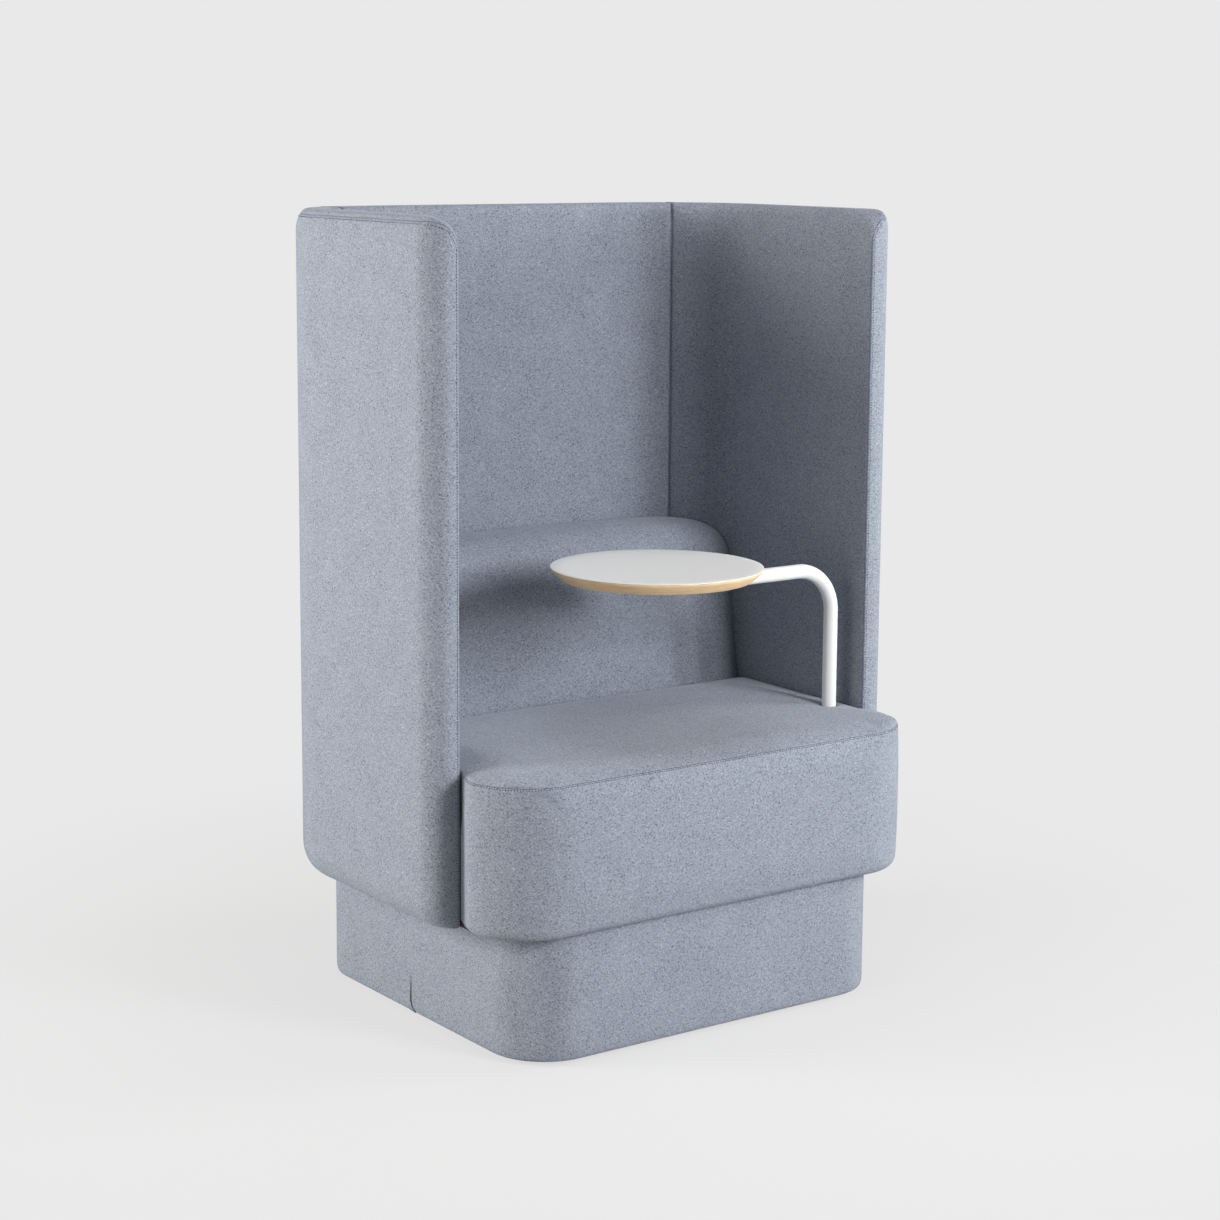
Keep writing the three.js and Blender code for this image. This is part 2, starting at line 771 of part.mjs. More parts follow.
// Socket of the table post, welded up from a tube, a web and a plate
const boreRadius = tubeRadius + bushClearance + bushWall + fitGap;
const socketRadius = boreRadius + socketWall;
const socketZ = [seatBoardZ[1] + fitGap, seatRailTopZ - bushFlangeThickness];
const plateX = [railInnerX - fitGap - socketPlateThickness, railInnerX - fitGap];
const socketPlateZ = [seatRailZ[0] + socketPlateSetback, seatRailZ[1] - socketPlateSetback];
const socketScrewZ = socketScrewShares.map((share) => THREE.MathUtils.lerp(...socketPlateZ, share));
const socketScrewY = postY + socketPlateWidth * socketScrewSideShare;

function socketScrewHoles() {
  const xs = [plateX[0] - overrun, plateX[1] + screwDepth + fitGap];
  const [low, high] = socketScrewZ.map((z) => (
    sideways(screwRadius + screwHoleClearance, xs, socketScrewY, z)
  ));
  return low.add(high);
}

function makeSocket() {
  const halfPlate = socketPlateWidth / 2;
  const plate = slab(plateX, [postY - halfPlate, postY + halfPlate], socketPlateZ);
  const halfWeb = socketWebThickness / 2;
  const webX = [postX, plateX[0] + socketPlateThickness / 2];
  const web = slab(webX, [postY - halfWeb, postY + halfWeb], socketPlateZ);
  const tube = upright(socketRadius, postX, postY, socketZ);
  const bore = upright(boreRadius, postX, postY, [socketZ[0] - overrun, socketZ[1] + overrun]);
  return tube.add(plate).add(web).subtract(bore).subtract(socketScrewHoles());
}

function makeSocketScrew(z) {
  const headX = plateX[0] - fitGap;
  const shank = sideways(screwRadius, [headX, plateX[1] + screwDepth], socketScrewY, z);
  return shank.add(sideways(screwHeadRadius, [headX - screwHeadHeight, headX], socketScrewY, z));
}

const bushOuterRadius = boreRadius - fitGap;
const bushBoreRadius = tubeRadius + bushClearance;

function makeUpperBush() {
  const sleeveZ = [socketZ[1] - bushSleeveLength, socketZ[1] + fitGap];
  const flangeZ = [socketZ[1] + fitGap, socketZ[1] + bushFlangeThickness];
  const sleeve = upright(bushOuterRadius, postX, postY, sleeveZ);
  const flange = upright(socketRadius, postX, postY, flangeZ);
  const bore = upright(bushBoreRadius, postX, postY, [sleeveZ[0] - overrun, flangeZ[1] + overrun]);
  return sleeve.add(flange).subtract(bore);
}

function makeLowerBush() {
  const lowZ = socketZ[0];
  const cup = upright(bushOuterRadius, postX, postY, [lowZ, lowZ + bushSleeveLength + cupFloorThickness]);
  const boreZ = [lowZ + cupFloorThickness, lowZ + bushSleeveLength + cupFloorThickness + overrun];
  return cup.subtract(upright(bushBoreRadius, postX, postY, boreZ));
}

// The bent tube: up the post, round the bend, then level to the plate under the table
const postFootZ = socketZ[0] + cupFloorThickness + fitGap + capThickness + fitGap;
const armEndX = tableX + armEndSetback;

function tubeRing(radius, centreX, centreZ, tilt) {
  const flat = arc(0, 0, radius, 0, 360, tubeSides).slice(1);
  return flat.map((point) => new THREE.Vector3(
    centreX + point.x * Math.cos(tilt),
    postY + point.y,
    centreZ + point.x * Math.sin(tilt),
  ));
}

function bentTube(radius, extra) {
  const bendCentreX = postX - bendRadius;
  const bendCentreZ = armHeight - bendRadius;
  const rings = [tubeRing(radius, postX, postFootZ - extra, 0)];
  for (let i = 0; i <= bendSteps; i += 1) {
    const turn = (Math.PI / 2) * (i / bendSteps);
    rings.push(tubeRing(
      radius,
      bendCentreX + bendRadius * Math.cos(turn),
      bendCentreZ + bendRadius * Math.sin(turn),
      turn,
    ));
  }
  rings.push(tubeRing(radius, armEndX - extra, armHeight, Math.PI / 2));
  const flat = arc(0, 0, radius, 0, 360, tubeSides).slice(1);
  return skin(rings, flat, flat);
}

function makeArmTube() {
  return bentTube(tubeRadius, 0).subtract(bentTube(tubeRadius - tubeWall, overrun));
}

const plugRadius = tubeRadius - tubeWall - fitGap;

function makePostCap() {
  const topZ = postFootZ - fitGap;
  const disc = upright(tubeRadius, postX, postY, [topZ - capThickness, topZ]);
  return disc.add(upright(plugRadius, postX, postY, [topZ - capThickness / 2, topZ + capPlugLength]));
}

function makeArmCap() {
  const faceX = armEndX - fitGap;
  const disc = sideways(tubeRadius, [faceX - capThickness, faceX], postY, armHeight, tubeSides);
  const plugX = [faceX - capThickness / 2, faceX + capPlugLength];
  return disc.add(sideways(plugRadius, plugX, postY, armHeight, tubeSides));
}

// Table top on its mounting plate
const plateZ = [armHeight + tubeRadius + fitGap, armHeight + tubeRadius + fitGap + tablePlateThickness];
const boardZ = [plateZ[1] + fitGap, plateZ[1] + fitGap + tableBoardThickness];
const laminateZ = [boardZ[1] + fitGap, boardZ[1] + fitGap + laminateThickness];
const tableScrewPlaces = fourPlaces(
  [tableX - tableScrewSpacingX / 2, tableX + tableScrewSpacingX / 2],
  [postY - tableScrewSpacingY / 2, postY + tableScrewSpacingY / 2],
);

function tableScrewHoles(solid, zRange) {
  let drilled = solid;
  for (const [x, y] of tableScrewPlaces) {
    drilled = drilled.subtract(upright(screwRadius + screwHoleClearance, x, y, zRange, boltSides));
  }
  return drilled;
}

function makeTablePlate() {
  const xs = [tableX - tablePlateLength / 2, tableX + tablePlateLength / 2];
  const ys = [postY - tablePlateWidth / 2, postY + tablePlateWidth / 2];
  return tableScrewHoles(slab(xs, ys, plateZ), [plateZ[0] - overrun, plateZ[1] + overrun]);
}

function makeTableBoard() {
  const under = tableUndersideDiameter / 2;
  const top = tableDiameter / 2;
  const profile = [
    new THREE.Vector2(0, boardZ[0]),
    new THREE.Vector2(under, boardZ[0]),
    new THREE.Vector2(top, boardZ[1] - tableLipHeight),
    new THREE.Vector2(top, boardZ[1]),
    new THREE.Vector2(0, boardZ[1]),
  ];
  const geometry = new THREE.LatheGeometry(profile, 2 * roundSteps);
  geometry.rotateX(Math.PI / 2);
  geometry.translate(tableX, postY, 0);
  return tableScrewHoles(solidOf(geometry), [boardZ[0] - overrun, boardZ[0] + screwDepth + fitGap]);
}

function makeLaminate() {
  return upright(tableDiameter / 2, tableX, postY, laminateZ, 2 * roundSteps);
}

function makeTableScrew(x, y) {
  const headZ = plateZ[0] - fitGap;
  const shank = upright(screwRadius, x, y, [headZ, boardZ[0] + screwDepth], boltSides);
  return shank.add(upright(screwHeadRadius, x, y, [headZ - screwHeadHeight, headZ], boltSides));
}

function makeBaseBolt(x, y) {
  const headZ = baseDeckZ[0] - fitGap;
  const shank = upright(boltRadius, x, y, [headZ, seatBoardZ[1] - boltTipSetback], boltSides);
  return shank.add(upright(boltHeadRadius, x, y, [headZ - boltHeadHeight, headZ], boltSides));
}

// Assembly
const chair = new THREE.Group();

function addPart(group, name, solid, material) {
  const mesh = new THREE.Mesh(geometryOf(solid), material());
  mesh.name = name;
  group.add(mesh);
}

const sides = [['left', -1], ['right', 1]];

function addPlinth() {
  const plinth = new THREE.Group();
  const glideX = baseWidth / 2 - glideInset;
  const glidePlaces = [
    ['front', baseFrontY + glideInset],
    ['rear', baseBackY - glideInset],
  ];
  for (const [end, y] of glidePlaces) {
    for (const [name, side] of sides) {
      addPart(plinth, `glide_${end}_${name}`, makeGlide(side * glideX, y), plastic);
    }
  }
  addPart(plinth, 'base_bottom_board', makeBaseBoard(), plywood);
  addPart(plinth, 'base_top_board', makeBaseDeck(), plywood);
  for (const [name, side] of sides) addPart(plinth, `base_rail_${name}`, makeBaseSideRail(side), timber);
  addPart(plinth, 'base_rail_front', makeBaseCrossRail(baseFrontY, 1), timber);
  addPart(plinth, 'base_rail_rear', makeBaseCrossRail(baseBackY, -1), timber);
  addPart(plinth, 'base_cover', makeBaseCover(), fabric);
  baseBoltPlaces.forEach(([x, y], i) => addPart(plinth, `base_bolt_${i + 1}`, makeBaseBolt(x, y), steel));
  chair.add(plinth);
}

function addShell() {
  const shell = new THREE.Group();
  const reach = overallHeight + overrun;
  const seam = backSeamX;
  addPart(shell, 'shell_outer_cover', makeShellCover(), fabric);
  addPart(shell, 'shell_back_pad', makePad([-seam + fitGap / 2, seam - fitGap / 2]), fabric);
  addPart(shell, 'shell_side_pad_left', makePad([-reach, -seam - fitGap / 2]), fabric);
  addPart(shell, 'shell_side_pad_right', makePad([seam + fitGap / 2, reach]), fabric);
  for (const part of ['left', 'back', 'right']) addPart(shell, `shell_core_${part}`, makeCore(part), plywood);
  for (const [name, side] of sides) {
    addPart(shell, `shell_batten_${name}`, battenSpace(side, 0), timber);
    addPart(shell, `shell_spacer_${name}`, makeSideSpacer(side), timber);
    shellBoltY.forEach((y, i) => {
      addPart(shell, `shell_bolt_${name}_${i + 1}`, makeShellBolt(side, y), steel);
    });
  }
  addPart(shell, 'shell_spacer_back', makeBackSpacer(), timber);
  chair.add(shell);
}

function addSeat() {
  const seat = new THREE.Group();
  addPart(seat, 'seat_bottom_board', makeSeatBoard(), lining);
  addPart(seat, 'seat_rail_front', makeSeatFrontRail(), plywood);
  for (const [name, side] of sides) addPart(seat, `seat_rail_${name}`, makeSeatSideRail(side), plywood);
  addPart(seat, 'seat_rail_middle', makeSeatCrossRail(railInnerX - fitGap, midRailY), timber);
  const rearRailY = [seatRearY - seatRailThickness, seatRearY];
  addPart(seat, 'seat_rail_rear', makeSeatCrossRail(innerTurnX, rearRailY), timber);
  addPart(seat, 'backrest_shelf', makeShelf(), plywood);
  for (let i = 0; i < webbingCount; i += 1) addPart(seat, `seat_webbing_${i + 1}`, makeWebbing(i), webbing);
  addPart(seat, 'seat_cushion', makeSeatCushion(), fabric);
  chair.add(seat);
}

function addBackrest() {
  const backrest = new THREE.Group();
  addPart(backrest, 'backrest_board', backrestBoardSpace(0), plywood);
  addPart(backrest, 'backrest_bracket', bracketSpace(0), steel);
  addPart(backrest, 'backrest_cushion', makeBackrestCushion(), fabric);
  chair.add(backrest);
}

function addTable() {
  const table = new THREE.Group();
  addPart(table, 'arm_socket', makeSocket(), steel);
  socketScrewZ.forEach((z, i) => addPart(table, `socket_screw_${i + 1}`, makeSocketScrew(z), steel));
  addPart(table, 'upper_bush', makeUpperBush(), plastic);
  addPart(table, 'lower_bush', makeLowerBush(), plastic);
  addPart(table, 'arm_tube', makeArmTube(), whitePaint);
  addPart(table, 'post_foot_cap', makePostCap(), plastic);
  addPart(table, 'arm_end_cap', makeArmCap(), plastic);
  addPart(table, 'table_plate', makeTablePlate(), whitePaint);
  tableScrewPlaces.forEach(([x, y], i) => {
    addPart(table, `table_screw_${i + 1}`, makeTableScrew(x, y), steel);
  });
  addPart(table, 'table_board', makeTableBoard(), plywood);
  addPart(table, 'table_laminate', makeLaminate(), laminate);
  chair.add(table);
}

addPlinth();
addShell();
addSeat();
addBackrest();
addTable();

export default chair;
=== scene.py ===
# %% [markdown]
# # An acoustic high back lounge chair
#
# The real chair is a foam seat and a U-shaped privacy wall in one blue-grey wool felt, with a
# small round table on a white bent tube. The CAD solids give every size and joint. This script
# dresses them: it sews the covers, plumps the cushions, polishes the table and lights the room.
# All lengths are metres, in the same frame as the solids, and the sitter faces -Y.

# %% Load the frame
import json
import math

import bmesh
import bpy
from mathutils import Matrix, Vector
from mathutils.bvhtree import BVHTree


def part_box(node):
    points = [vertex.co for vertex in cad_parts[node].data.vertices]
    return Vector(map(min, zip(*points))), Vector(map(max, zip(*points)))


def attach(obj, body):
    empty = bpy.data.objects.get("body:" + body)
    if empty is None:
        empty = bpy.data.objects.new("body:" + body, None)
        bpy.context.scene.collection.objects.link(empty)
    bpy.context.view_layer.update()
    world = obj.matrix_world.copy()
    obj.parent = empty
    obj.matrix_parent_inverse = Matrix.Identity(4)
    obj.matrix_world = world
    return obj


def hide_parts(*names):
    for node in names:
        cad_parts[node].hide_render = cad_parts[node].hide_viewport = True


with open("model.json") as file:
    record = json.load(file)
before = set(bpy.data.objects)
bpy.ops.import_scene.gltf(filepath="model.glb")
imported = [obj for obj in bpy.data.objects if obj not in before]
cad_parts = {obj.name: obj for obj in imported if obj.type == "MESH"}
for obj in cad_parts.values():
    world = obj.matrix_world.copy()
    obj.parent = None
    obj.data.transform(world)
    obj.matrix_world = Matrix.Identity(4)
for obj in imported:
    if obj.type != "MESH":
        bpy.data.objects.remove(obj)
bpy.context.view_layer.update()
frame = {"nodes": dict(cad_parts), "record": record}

# %% [markdown]
# ## The camera
#
# The photograph was taken from the front left, a little above the table, with a long lens. The
# picture keeps its verticals almost parallel, so the lens is shifted a little instead of tilted.
# The angles and the distance come from matching the chair's known edges to the photograph.

# %% Place the camera
CAMERA_PLACE = Vector((-2.5934, -3.6254, 1.4824))
CAMERA_TURN = -35.74
CAMERA_TILT = 9.09
CAMERA_ROLL = 0.39
FOCAL_LENGTH, SENSOR_WIDTH = 77.335, 36
LENS_SHIFT = -0.05

camera = bpy.data.objects.new("camera", bpy.data.cameras.new("camera"))
camera.matrix_world = (
    Matrix.Translation(CAMERA_PLACE)
    @ Matrix.Rotation(math.radians(CAMERA_TURN), 4, "Z")
    @ Matrix.Rotation(math.radians(90 - CAMERA_TILT), 4, "X")
    @ Matrix.Rotation(math.radians(CAMERA_ROLL), 4, "Z")
)
camera.data.sensor_width = SENSOR_WIDTH
camera.data.lens = FOCAL_LENGTH
camera.data.shift_y = LENS_SHIFT
bpy.context.scene.collection.objects.link(camera)
bpy.context.scene.camera = camera
print("camera looks along", tuple(round(x, 4) for x in -camera.matrix_world.col[2].xyz))

# %% [markdown]
# ## Colours and a helper for material nodes
#
# Colours are given as sRGB hex values, and the shader wants linear light, so one small
# function converts them. A second one adds a node with its settings and links, which keeps each
# material short enough to read.

# %% Colour and node helpers
def linear(hex_colour, alpha=1.0):
    channels = [int(hex_colour[i:i + 2], 16) / 255 for i in (0, 2, 4)]
    curve = [c / 12.92 if c <= 0.04045 else ((c + 0.055) / 1.055) ** 2.4 for c in channels]
    return (*curve, alpha)


def add(tree, kind, links=None, values=None, **settings):
    node = tree.nodes.new(kind)
    for key, value in settings.items():
        setattr(node, key, value)
    for socket, value in (values or {}).items():
        node.inputs[socket].default_value = value
    for socket, source in (links or {}).items():
        tree.links.new(source, node.inputs[socket])
    return node


def new_material(name):
    made = bpy.data.materials.new(name)
    made.use_nodes = True
    made.node_tree.nodes.clear()
    return made, made.node_tree


def per_metre(millimetres):
    """The scale of a texture on Object coordinates whose features are this wide."""
    return 1000 / millimetres


def ramp(tree, source, stops):
    node = add(tree, "ShaderNodeValToRGB", {"Fac": source})
    elements = node.color_ramp.elements
    while len(elements) < len(stops):
        elements.new(0.5)
    for element, (place, colour) in zip(elements, stops):
        element.position = place
        element.color = colour
    return node


# %% [markdown]
# ## Felted wool
#
# The cover is a milled wool felt of mixed yarn: pale, middle and dark blue-grey fibres spun
# together. Close up it is a fine speckle, a little longer along the thread than across it, and
# from far away it is one even colour. The speckle is drawn two and a half millimetres wide, which
# is coarser than the real one, so that it shows in the picture. Fibres that stand up from the
# surface catch light at a grazing angle, which the shader's sheen gives. The speckle is drawn
# from three noises on Object coordinates, so it does not stretch over the curved walls. The noises
# are turned a little, because a noise fades out on a flat side that lies along its own grid.

# %% Make the felt
FELT_SPECKLE = 2.5
FELT_FIBRE = 1.5
FELT_CLOUD = 60
FELT_STRETCH = 0.8
FELT_TURN = (0.55, 0.38, 0.24)
FIBRE_SHARE, CLOUD_SHARE = 0.42, 0.06
FELT_RELIEF = 0.0012


def felted_wool(name, shade, dark, pale):
    made, tree = new_material(name)
    place = add(tree, "ShaderNodeTexCoord").outputs["Object"]
    along = add(tree, "ShaderNodeMapping", {"Vector": place},
                {"Scale": (FELT_STRETCH, FELT_STRETCH, 1), "Rotation": FELT_TURN})
    speckle = add(tree, "ShaderNodeTexNoise", {"Vector": along.outputs["Vector"]},
                  {"Scale": per_metre(FELT_SPECKLE), "Detail": 2.0, "Roughness": 0.62})
    across = add(tree, "ShaderNodeMapping", {"Vector": place},
                 {"Scale": (1, 1, FELT_STRETCH), "Rotation": FELT_TURN})
    fibre = add(tree, "ShaderNodeTexNoise", {"Vector": across.outputs["Vector"]},
                {"Scale": per_metre(FELT_FIBRE), "Detail": 2.0, "Roughness": 0.6})
    cloud = add(tree, "ShaderNodeTexNoise", {"Vector": place},
                {"Scale": per_metre(FELT_CLOUD), "Detail": 3.0})
    yarn = add(tree, "ShaderNodeMix", {"A": speckle.outputs["Fac"], "B": fibre.outputs["Fac"]},
               {"Factor": FIBRE_SHARE}, data_type="FLOAT")
    drift = add(tree, "ShaderNodeMix", {"A": yarn.outputs["Result"], "B": cloud.outputs["Fac"]},
                {"Factor": CLOUD_SHARE}, data_type="FLOAT")
    tone = ramp(tree, drift.outputs["Result"],
                [(0.39, linear(dark)), (0.47, linear(shade)),
                 (0.54, linear(shade)), (0.63, linear(pale))])
    bump = add(tree, "ShaderNodeBump", {"Height": yarn.outputs["Result"]},
               {"Strength": 0.35, "Distance": FELT_RELIEF})
    shader = add(tree, "ShaderNodeBsdfPrincipled",
                 {"Base Color": tone.outputs["Color"], "Normal": bump.outputs["Normal"]},
                 {"Roughness": 0.95, "Specular IOR Level": 0.12, "Sheen Weight": 0.18,
                  "Sheen Roughness": 0.45, "Sheen Tint": linear("dfe6f0")})
    add(tree, "ShaderNodeOutputMaterial", {"Surface": shader.outputs["BSDF"]})
    return made


felt = felted_wool("felted_wool_blue_grey", shade="898f9a", dark="5a606d", pale="a8aeb7")
# Thread coloured darker than its own grey: painted shade of the stitch dimples and of the seat's seam
# line.
thread_and_shade_felt = felted_wool("polyester_thread_with_painted_shade", shade="3f4652", dark="353b46", pale="4b5260")
# Felt coloured darker as painted shade, for the tape in each seam's slit and the stitches beside the
# inner seams.
seam_shade_felt = felted_wool("felt_darkened_as_seam_shade", shade="6a7281", dark="5a6270", pale="78808f")
print("felt speckle", FELT_SPECKLE, "mm, fibre", FELT_FIBRE, "mm")

# %% [markdown]
# ## Harder materials
#
# The table's edge is solid beech, oiled: fine short flecks along the grain. Its top is a matt
# laminate, the arm is steel tube with a white powder coat, whose skin is faintly rippled like
# orange peel. The hidden boards, rails and screws get their own plain finishes, because the chair
# is also judged from below.

# %% Make the harder materials
def plain_surface(name, colour, other, size, roughness, metallic=0.0, bump=0.1,
                  stretch=(1, 1, 1)):
    """One material of two close tones in a noise of this size in millimetres."""
    made, tree = new_material(name)
    place = add(tree, "ShaderNodeTexCoord").outputs["Object"]
    turned = add(tree, "ShaderNodeMapping", {"Vector": place}, {"Scale": stretch})
    grain = add(tree, "ShaderNodeTexNoise", {"Vector": turned.outputs["Vector"]},
                {"Scale": per_metre(size), "Detail": 4.0, "Roughness": 0.6})
    tone = ramp(tree, grain.outputs["Fac"], [(0.35, linear(colour)), (0.65, linear(other))])
    height = add(tree, "ShaderNodeBump", {"Height": grain.outputs["Fac"]},
                 {"Strength": bump, "Distance": 0.0005})
    shader = add(tree, "ShaderNodeBsdfPrincipled",
                 {"Base Color": tone.outputs["Color"], "Normal": height.outputs["Normal"]},
                 {"Roughness": roughness, "Metallic": metallic})
    add(tree, "ShaderNodeOutputMaterial", {"Surface": shader.outputs["BSDF"]})
    return made


beech = plain_surface("oiled_beech", "e2c59c", "d6b48a", 5.0, 0.48, bump=0.08,
                      stretch=(0.25, 0.25, 2.2))
laminate = plain_surface("matt_white_laminate", "f1f1ee", "ededea", 3.0, 0.42, bump=0.03)
powder_coat = plain_surface("white_powder_coat", "e4e4e3", "dfdfde", 2.0, 0.36, bump=0.06)
birch_ply = plain_surface("birch_plywood", "cdb08a", "bb9a6e", 9.0, 0.7, bump=0.2,
                          stretch=(0.2, 1, 3))
softwood = plain_surface("planed_spruce", "c7a878", "b08c5c", 12.0, 0.75, bump=0.2,
                         stretch=(0.2, 0.2, 1))
lining = plain_surface("spunbond_lining", "2f3134", "25272a", 2.0, 0.9, bump=0.3)
nylon = plain_surface("moulded_nylon_black", "232426", "1c1d1f", 1.5, 0.55, bump=0.1)
zinc = plain_surface("zinc_plated_steel", "aeb1b5", "96999e", 4.0, 0.38, metallic=1.0, bump=0.05)
strap = plain_surface("elastic_webbing", "4f483c", "3c372d", 1.8, 0.9, bump=0.4, stretch=(1, 3, 1))

finish_of_slot = {
    "upholstery": felt, "lining": lining, "plywood": birch_ply, "timber": softwood, "bare_wood": beech,
    "laminate": laminate, "white_paint": powder_coat, "steel": zinc, "plastic": nylon, "webbing": strap,
}
slot_of_node = {s["node"]: s["material_slot"] for s in frame["record"]["subparts"]}
for name, node in frame["nodes"].items():
    node.data.materials.clear()
    node.data.materials.append(finish_of_slot[slot_of_node[name]])
print("materials:", len(finish_of_slot), "on", len(slot_of_node), "nodes")

# %% [markdown]
# ## A finished piece
#
# Every piece that this script makes ends in the same way: its mesh becomes an object at the
# origin, smooth-shaded, with a material, riding on the body it belongs to, and standing for the
# plain solid under it. One function does that, so that each step below only shapes a mesh.

# %% The function that finishes a piece
# The order in which Blender makes edges and faces can differ from run to run. So they are put in
# the order in which they lie along a slant that mirrored places don't share.
SLANT = Vector((1.0, 0.31, 0.17))


def along_slant(vert):
    return SLANT.dot(vert.co)


def put_in_order(bm):
    bm.edges.sort(key=lambda e: sum(map(along_slant, e.verts)))
    bm.faces.sort(key=lambda f: SLANT.dot(f.calc_center_median()))


def finish(bm, name, material, body, replaced=(), sharp_angle=None):
    if sharp_angle:
        for edge in bm.edges:
            if len(edge.link_faces) == 2 and edge.calc_face_angle() > math.radians(sharp_angle):
                edge.smooth = False
    for face in bm.faces:
        face.smooth = True
    mesh = bpy.data.meshes.new(name)
    put_in_order(bm)
    bm.to_mesh(mesh)
    bm.free()
    mesh.materials.append(material)
    piece = bpy.data.objects.new(name, mesh)
    bpy.context.scene.collection.objects.link(piece)
    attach(piece, body)
    if replaced:
        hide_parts(*replaced)
    print(name, "has", len(mesh.polygons), "faces")
    return piece


def felt_piece(bm, name, replaced=(), material=felt, sharp_angle=None):
    """A sewn piece of the chair itself."""
    return finish(bm, name, material, "chair", replaced, sharp_angle)


def thicken(sheet, thickness):
    """Gives a sheet its thickness, grown inwards from the side that shows."""
    layer = sheet.modifiers.new("thickness", "SOLIDIFY")
    layer.thickness = thickness
    layer.offset = -1


def smooth_step(x):
    x = min(max(x, 0.0), 1.0)
    return x * x * (3 - 2 * x)


def round_inset(distance, height, width):
    """How far a rounded edge steps back at a distance from its end."""
    if distance >= height:
        return 0.0
    rise = 1 - max(distance, 0.0) / height
    return width * (1 - math.sqrt(1 - rise * rise))


# %% [markdown]
# ## The wall of the shell
#
# The wall is one upright band bent into a U. Its cross-section is the same all round: 57 mm
# thick, softly rounded at the top and more so at the outer bottom edge. So the section is drawn
# once, from a circle whose four quarters are pushed apart to the corners of the wall, and then
# swept back along the left side, round the corner and along the back. Spin does all three runs,
# with no angle on the straight ones, and mirror makes the right half.

# %% Sizes of the wall
cover_low, cover_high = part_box("shell_outer_cover")
pad_low, pad_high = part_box("shell_back_pad")
HALF_WIDTH = cover_high.x
BACK_Y = cover_high.y
FRONT_Y = cover_low.y
WALL_BOTTOM = cover_low.z
WALL_TOP = pad_high.z
SIDE_THICKNESS = 0.057
BACK_EXTRA = 0.0075
OUTER_RADIUS = 0.200
BACK_SEAM_ANGLE = 30
NOSE_RADIUS = 0.040
NOSE_INNER_RADIUS = 0.005
TOP_CORNER_RADIUS = 0.055
TOP_CORNER_DEPTH, TOP_CORNER_OUTER_DEPTH = 0.090, 0.045
SEAM_DROP = 0.008
MESH_STEP = 0.0115
SEAM_GAP = 0.0011
# How the padding stands proud beside an inner seam: (height, rises within, back to nothing at)
PINCH_BACK = (0.0045, 0.012, 0.150)
PINCH_SIDE = (0.0110, 0.048, 0.160)
INNER_RADIUS = 0.143
INNER_X = HALF_WIDTH - SIDE_THICKNESS
SEAM_Z = WALL_TOP - SEAM_DROP
# Rounded corners of the section, as (outer side or not, top or not): (width, height)
CORNER_ROUND = {
    (True, True): (0.020, 0.038), (False, True): (0.010, 0.018),
    (True, False): (0.030, 0.050), (False, False): (0.006, 0.006),
}
print("wall", round(WALL_TOP - WALL_BOTTOM, 4), "m high, seam at", round(SEAM_Z, 4))

# %% Rings of edges
def edges_in(geometry):
    return [g for g in geometry if isinstance(g, bmesh.types.BMEdge)]


def ends_of(edges):
    return dict.fromkeys(v for e in edges for v in e.verts)


def next_ring(bm, edges):
    """Extrudes a ring in place. The step that asks for the new ring then moves it."""
    return edges_in(bmesh.ops.extrude_edge_only(bm, edges=edges)["geom"])


def sweep(bm, edges, steps, angle=0.0, shift=(0, 0, 0), centre=(0, 0, 0), axis=(0, 0, 1)):
    made = bmesh.ops.spin(bm, geom=edges, cent=centre, axis=axis, dvec=shift,
                          angle=math.radians(angle), steps=steps, use_merge=False)
    return edges_in(made["geom_last"])


def cut_evenly(bm, step):
    """Cuts every edge into lengths of about one step."""
    for edge in list(bm.edges):
        cuts = int(edge.calc_length() / step)
        if cuts:
            bmesh.ops.subdivide_edges(bm, edges=[edge], cuts=cuts)


# %% Draw the cross-section and sweep it
QUARTER_STEPS = 10
SIDE_STEPS, BACK_STEPS = 26, 13


def draw_section(bm, depth_layer):
    """The section of the left wall where its nose begins. The layer keeps each point's distance
    from the inner face, as a share of the thickness."""
    ring = bmesh.ops.create_circle(bm, segments=4 * QUARTER_STEPS, radius=1)["verts"]
    half_step = math.pi / (4 * QUARTER_STEPS)
    bmesh.ops.rotate(bm, verts=ring, cent=(0, 0, 0), matrix=Matrix.Rotation(half_step, 3, "Z"))
    for vert in ring:
        outer, top = vert.co.x < 0, vert.co.y > 0
        width, height = CORNER_ROUND[outer, top]
        centre_x = -HALF_WIDTH + width if outer else -INNER_X - width
        centre_z = WALL_TOP - height if top else WALL_BOTTOM + height
        vert.co = (centre_x + vert.co.x * width, FRONT_Y + NOSE_RADIUS, centre_z + vert.co.y * height)
    cut_evenly(bm, MESH_STEP)
    for vert in bm.verts:
        vert[depth_layer] = (-INNER_X - vert.co.x) / SIDE_THICKNESS
    return list(bm.edges)


marked = set()


def mark_zone(bm, zone_layer, zone):
    """Marks the faces made since the last call. A new face starts with its neighbour's mark."""
    for face in bm.faces:
        if face not in marked:
            face[zone_layer] = zone
            marked.add(face)


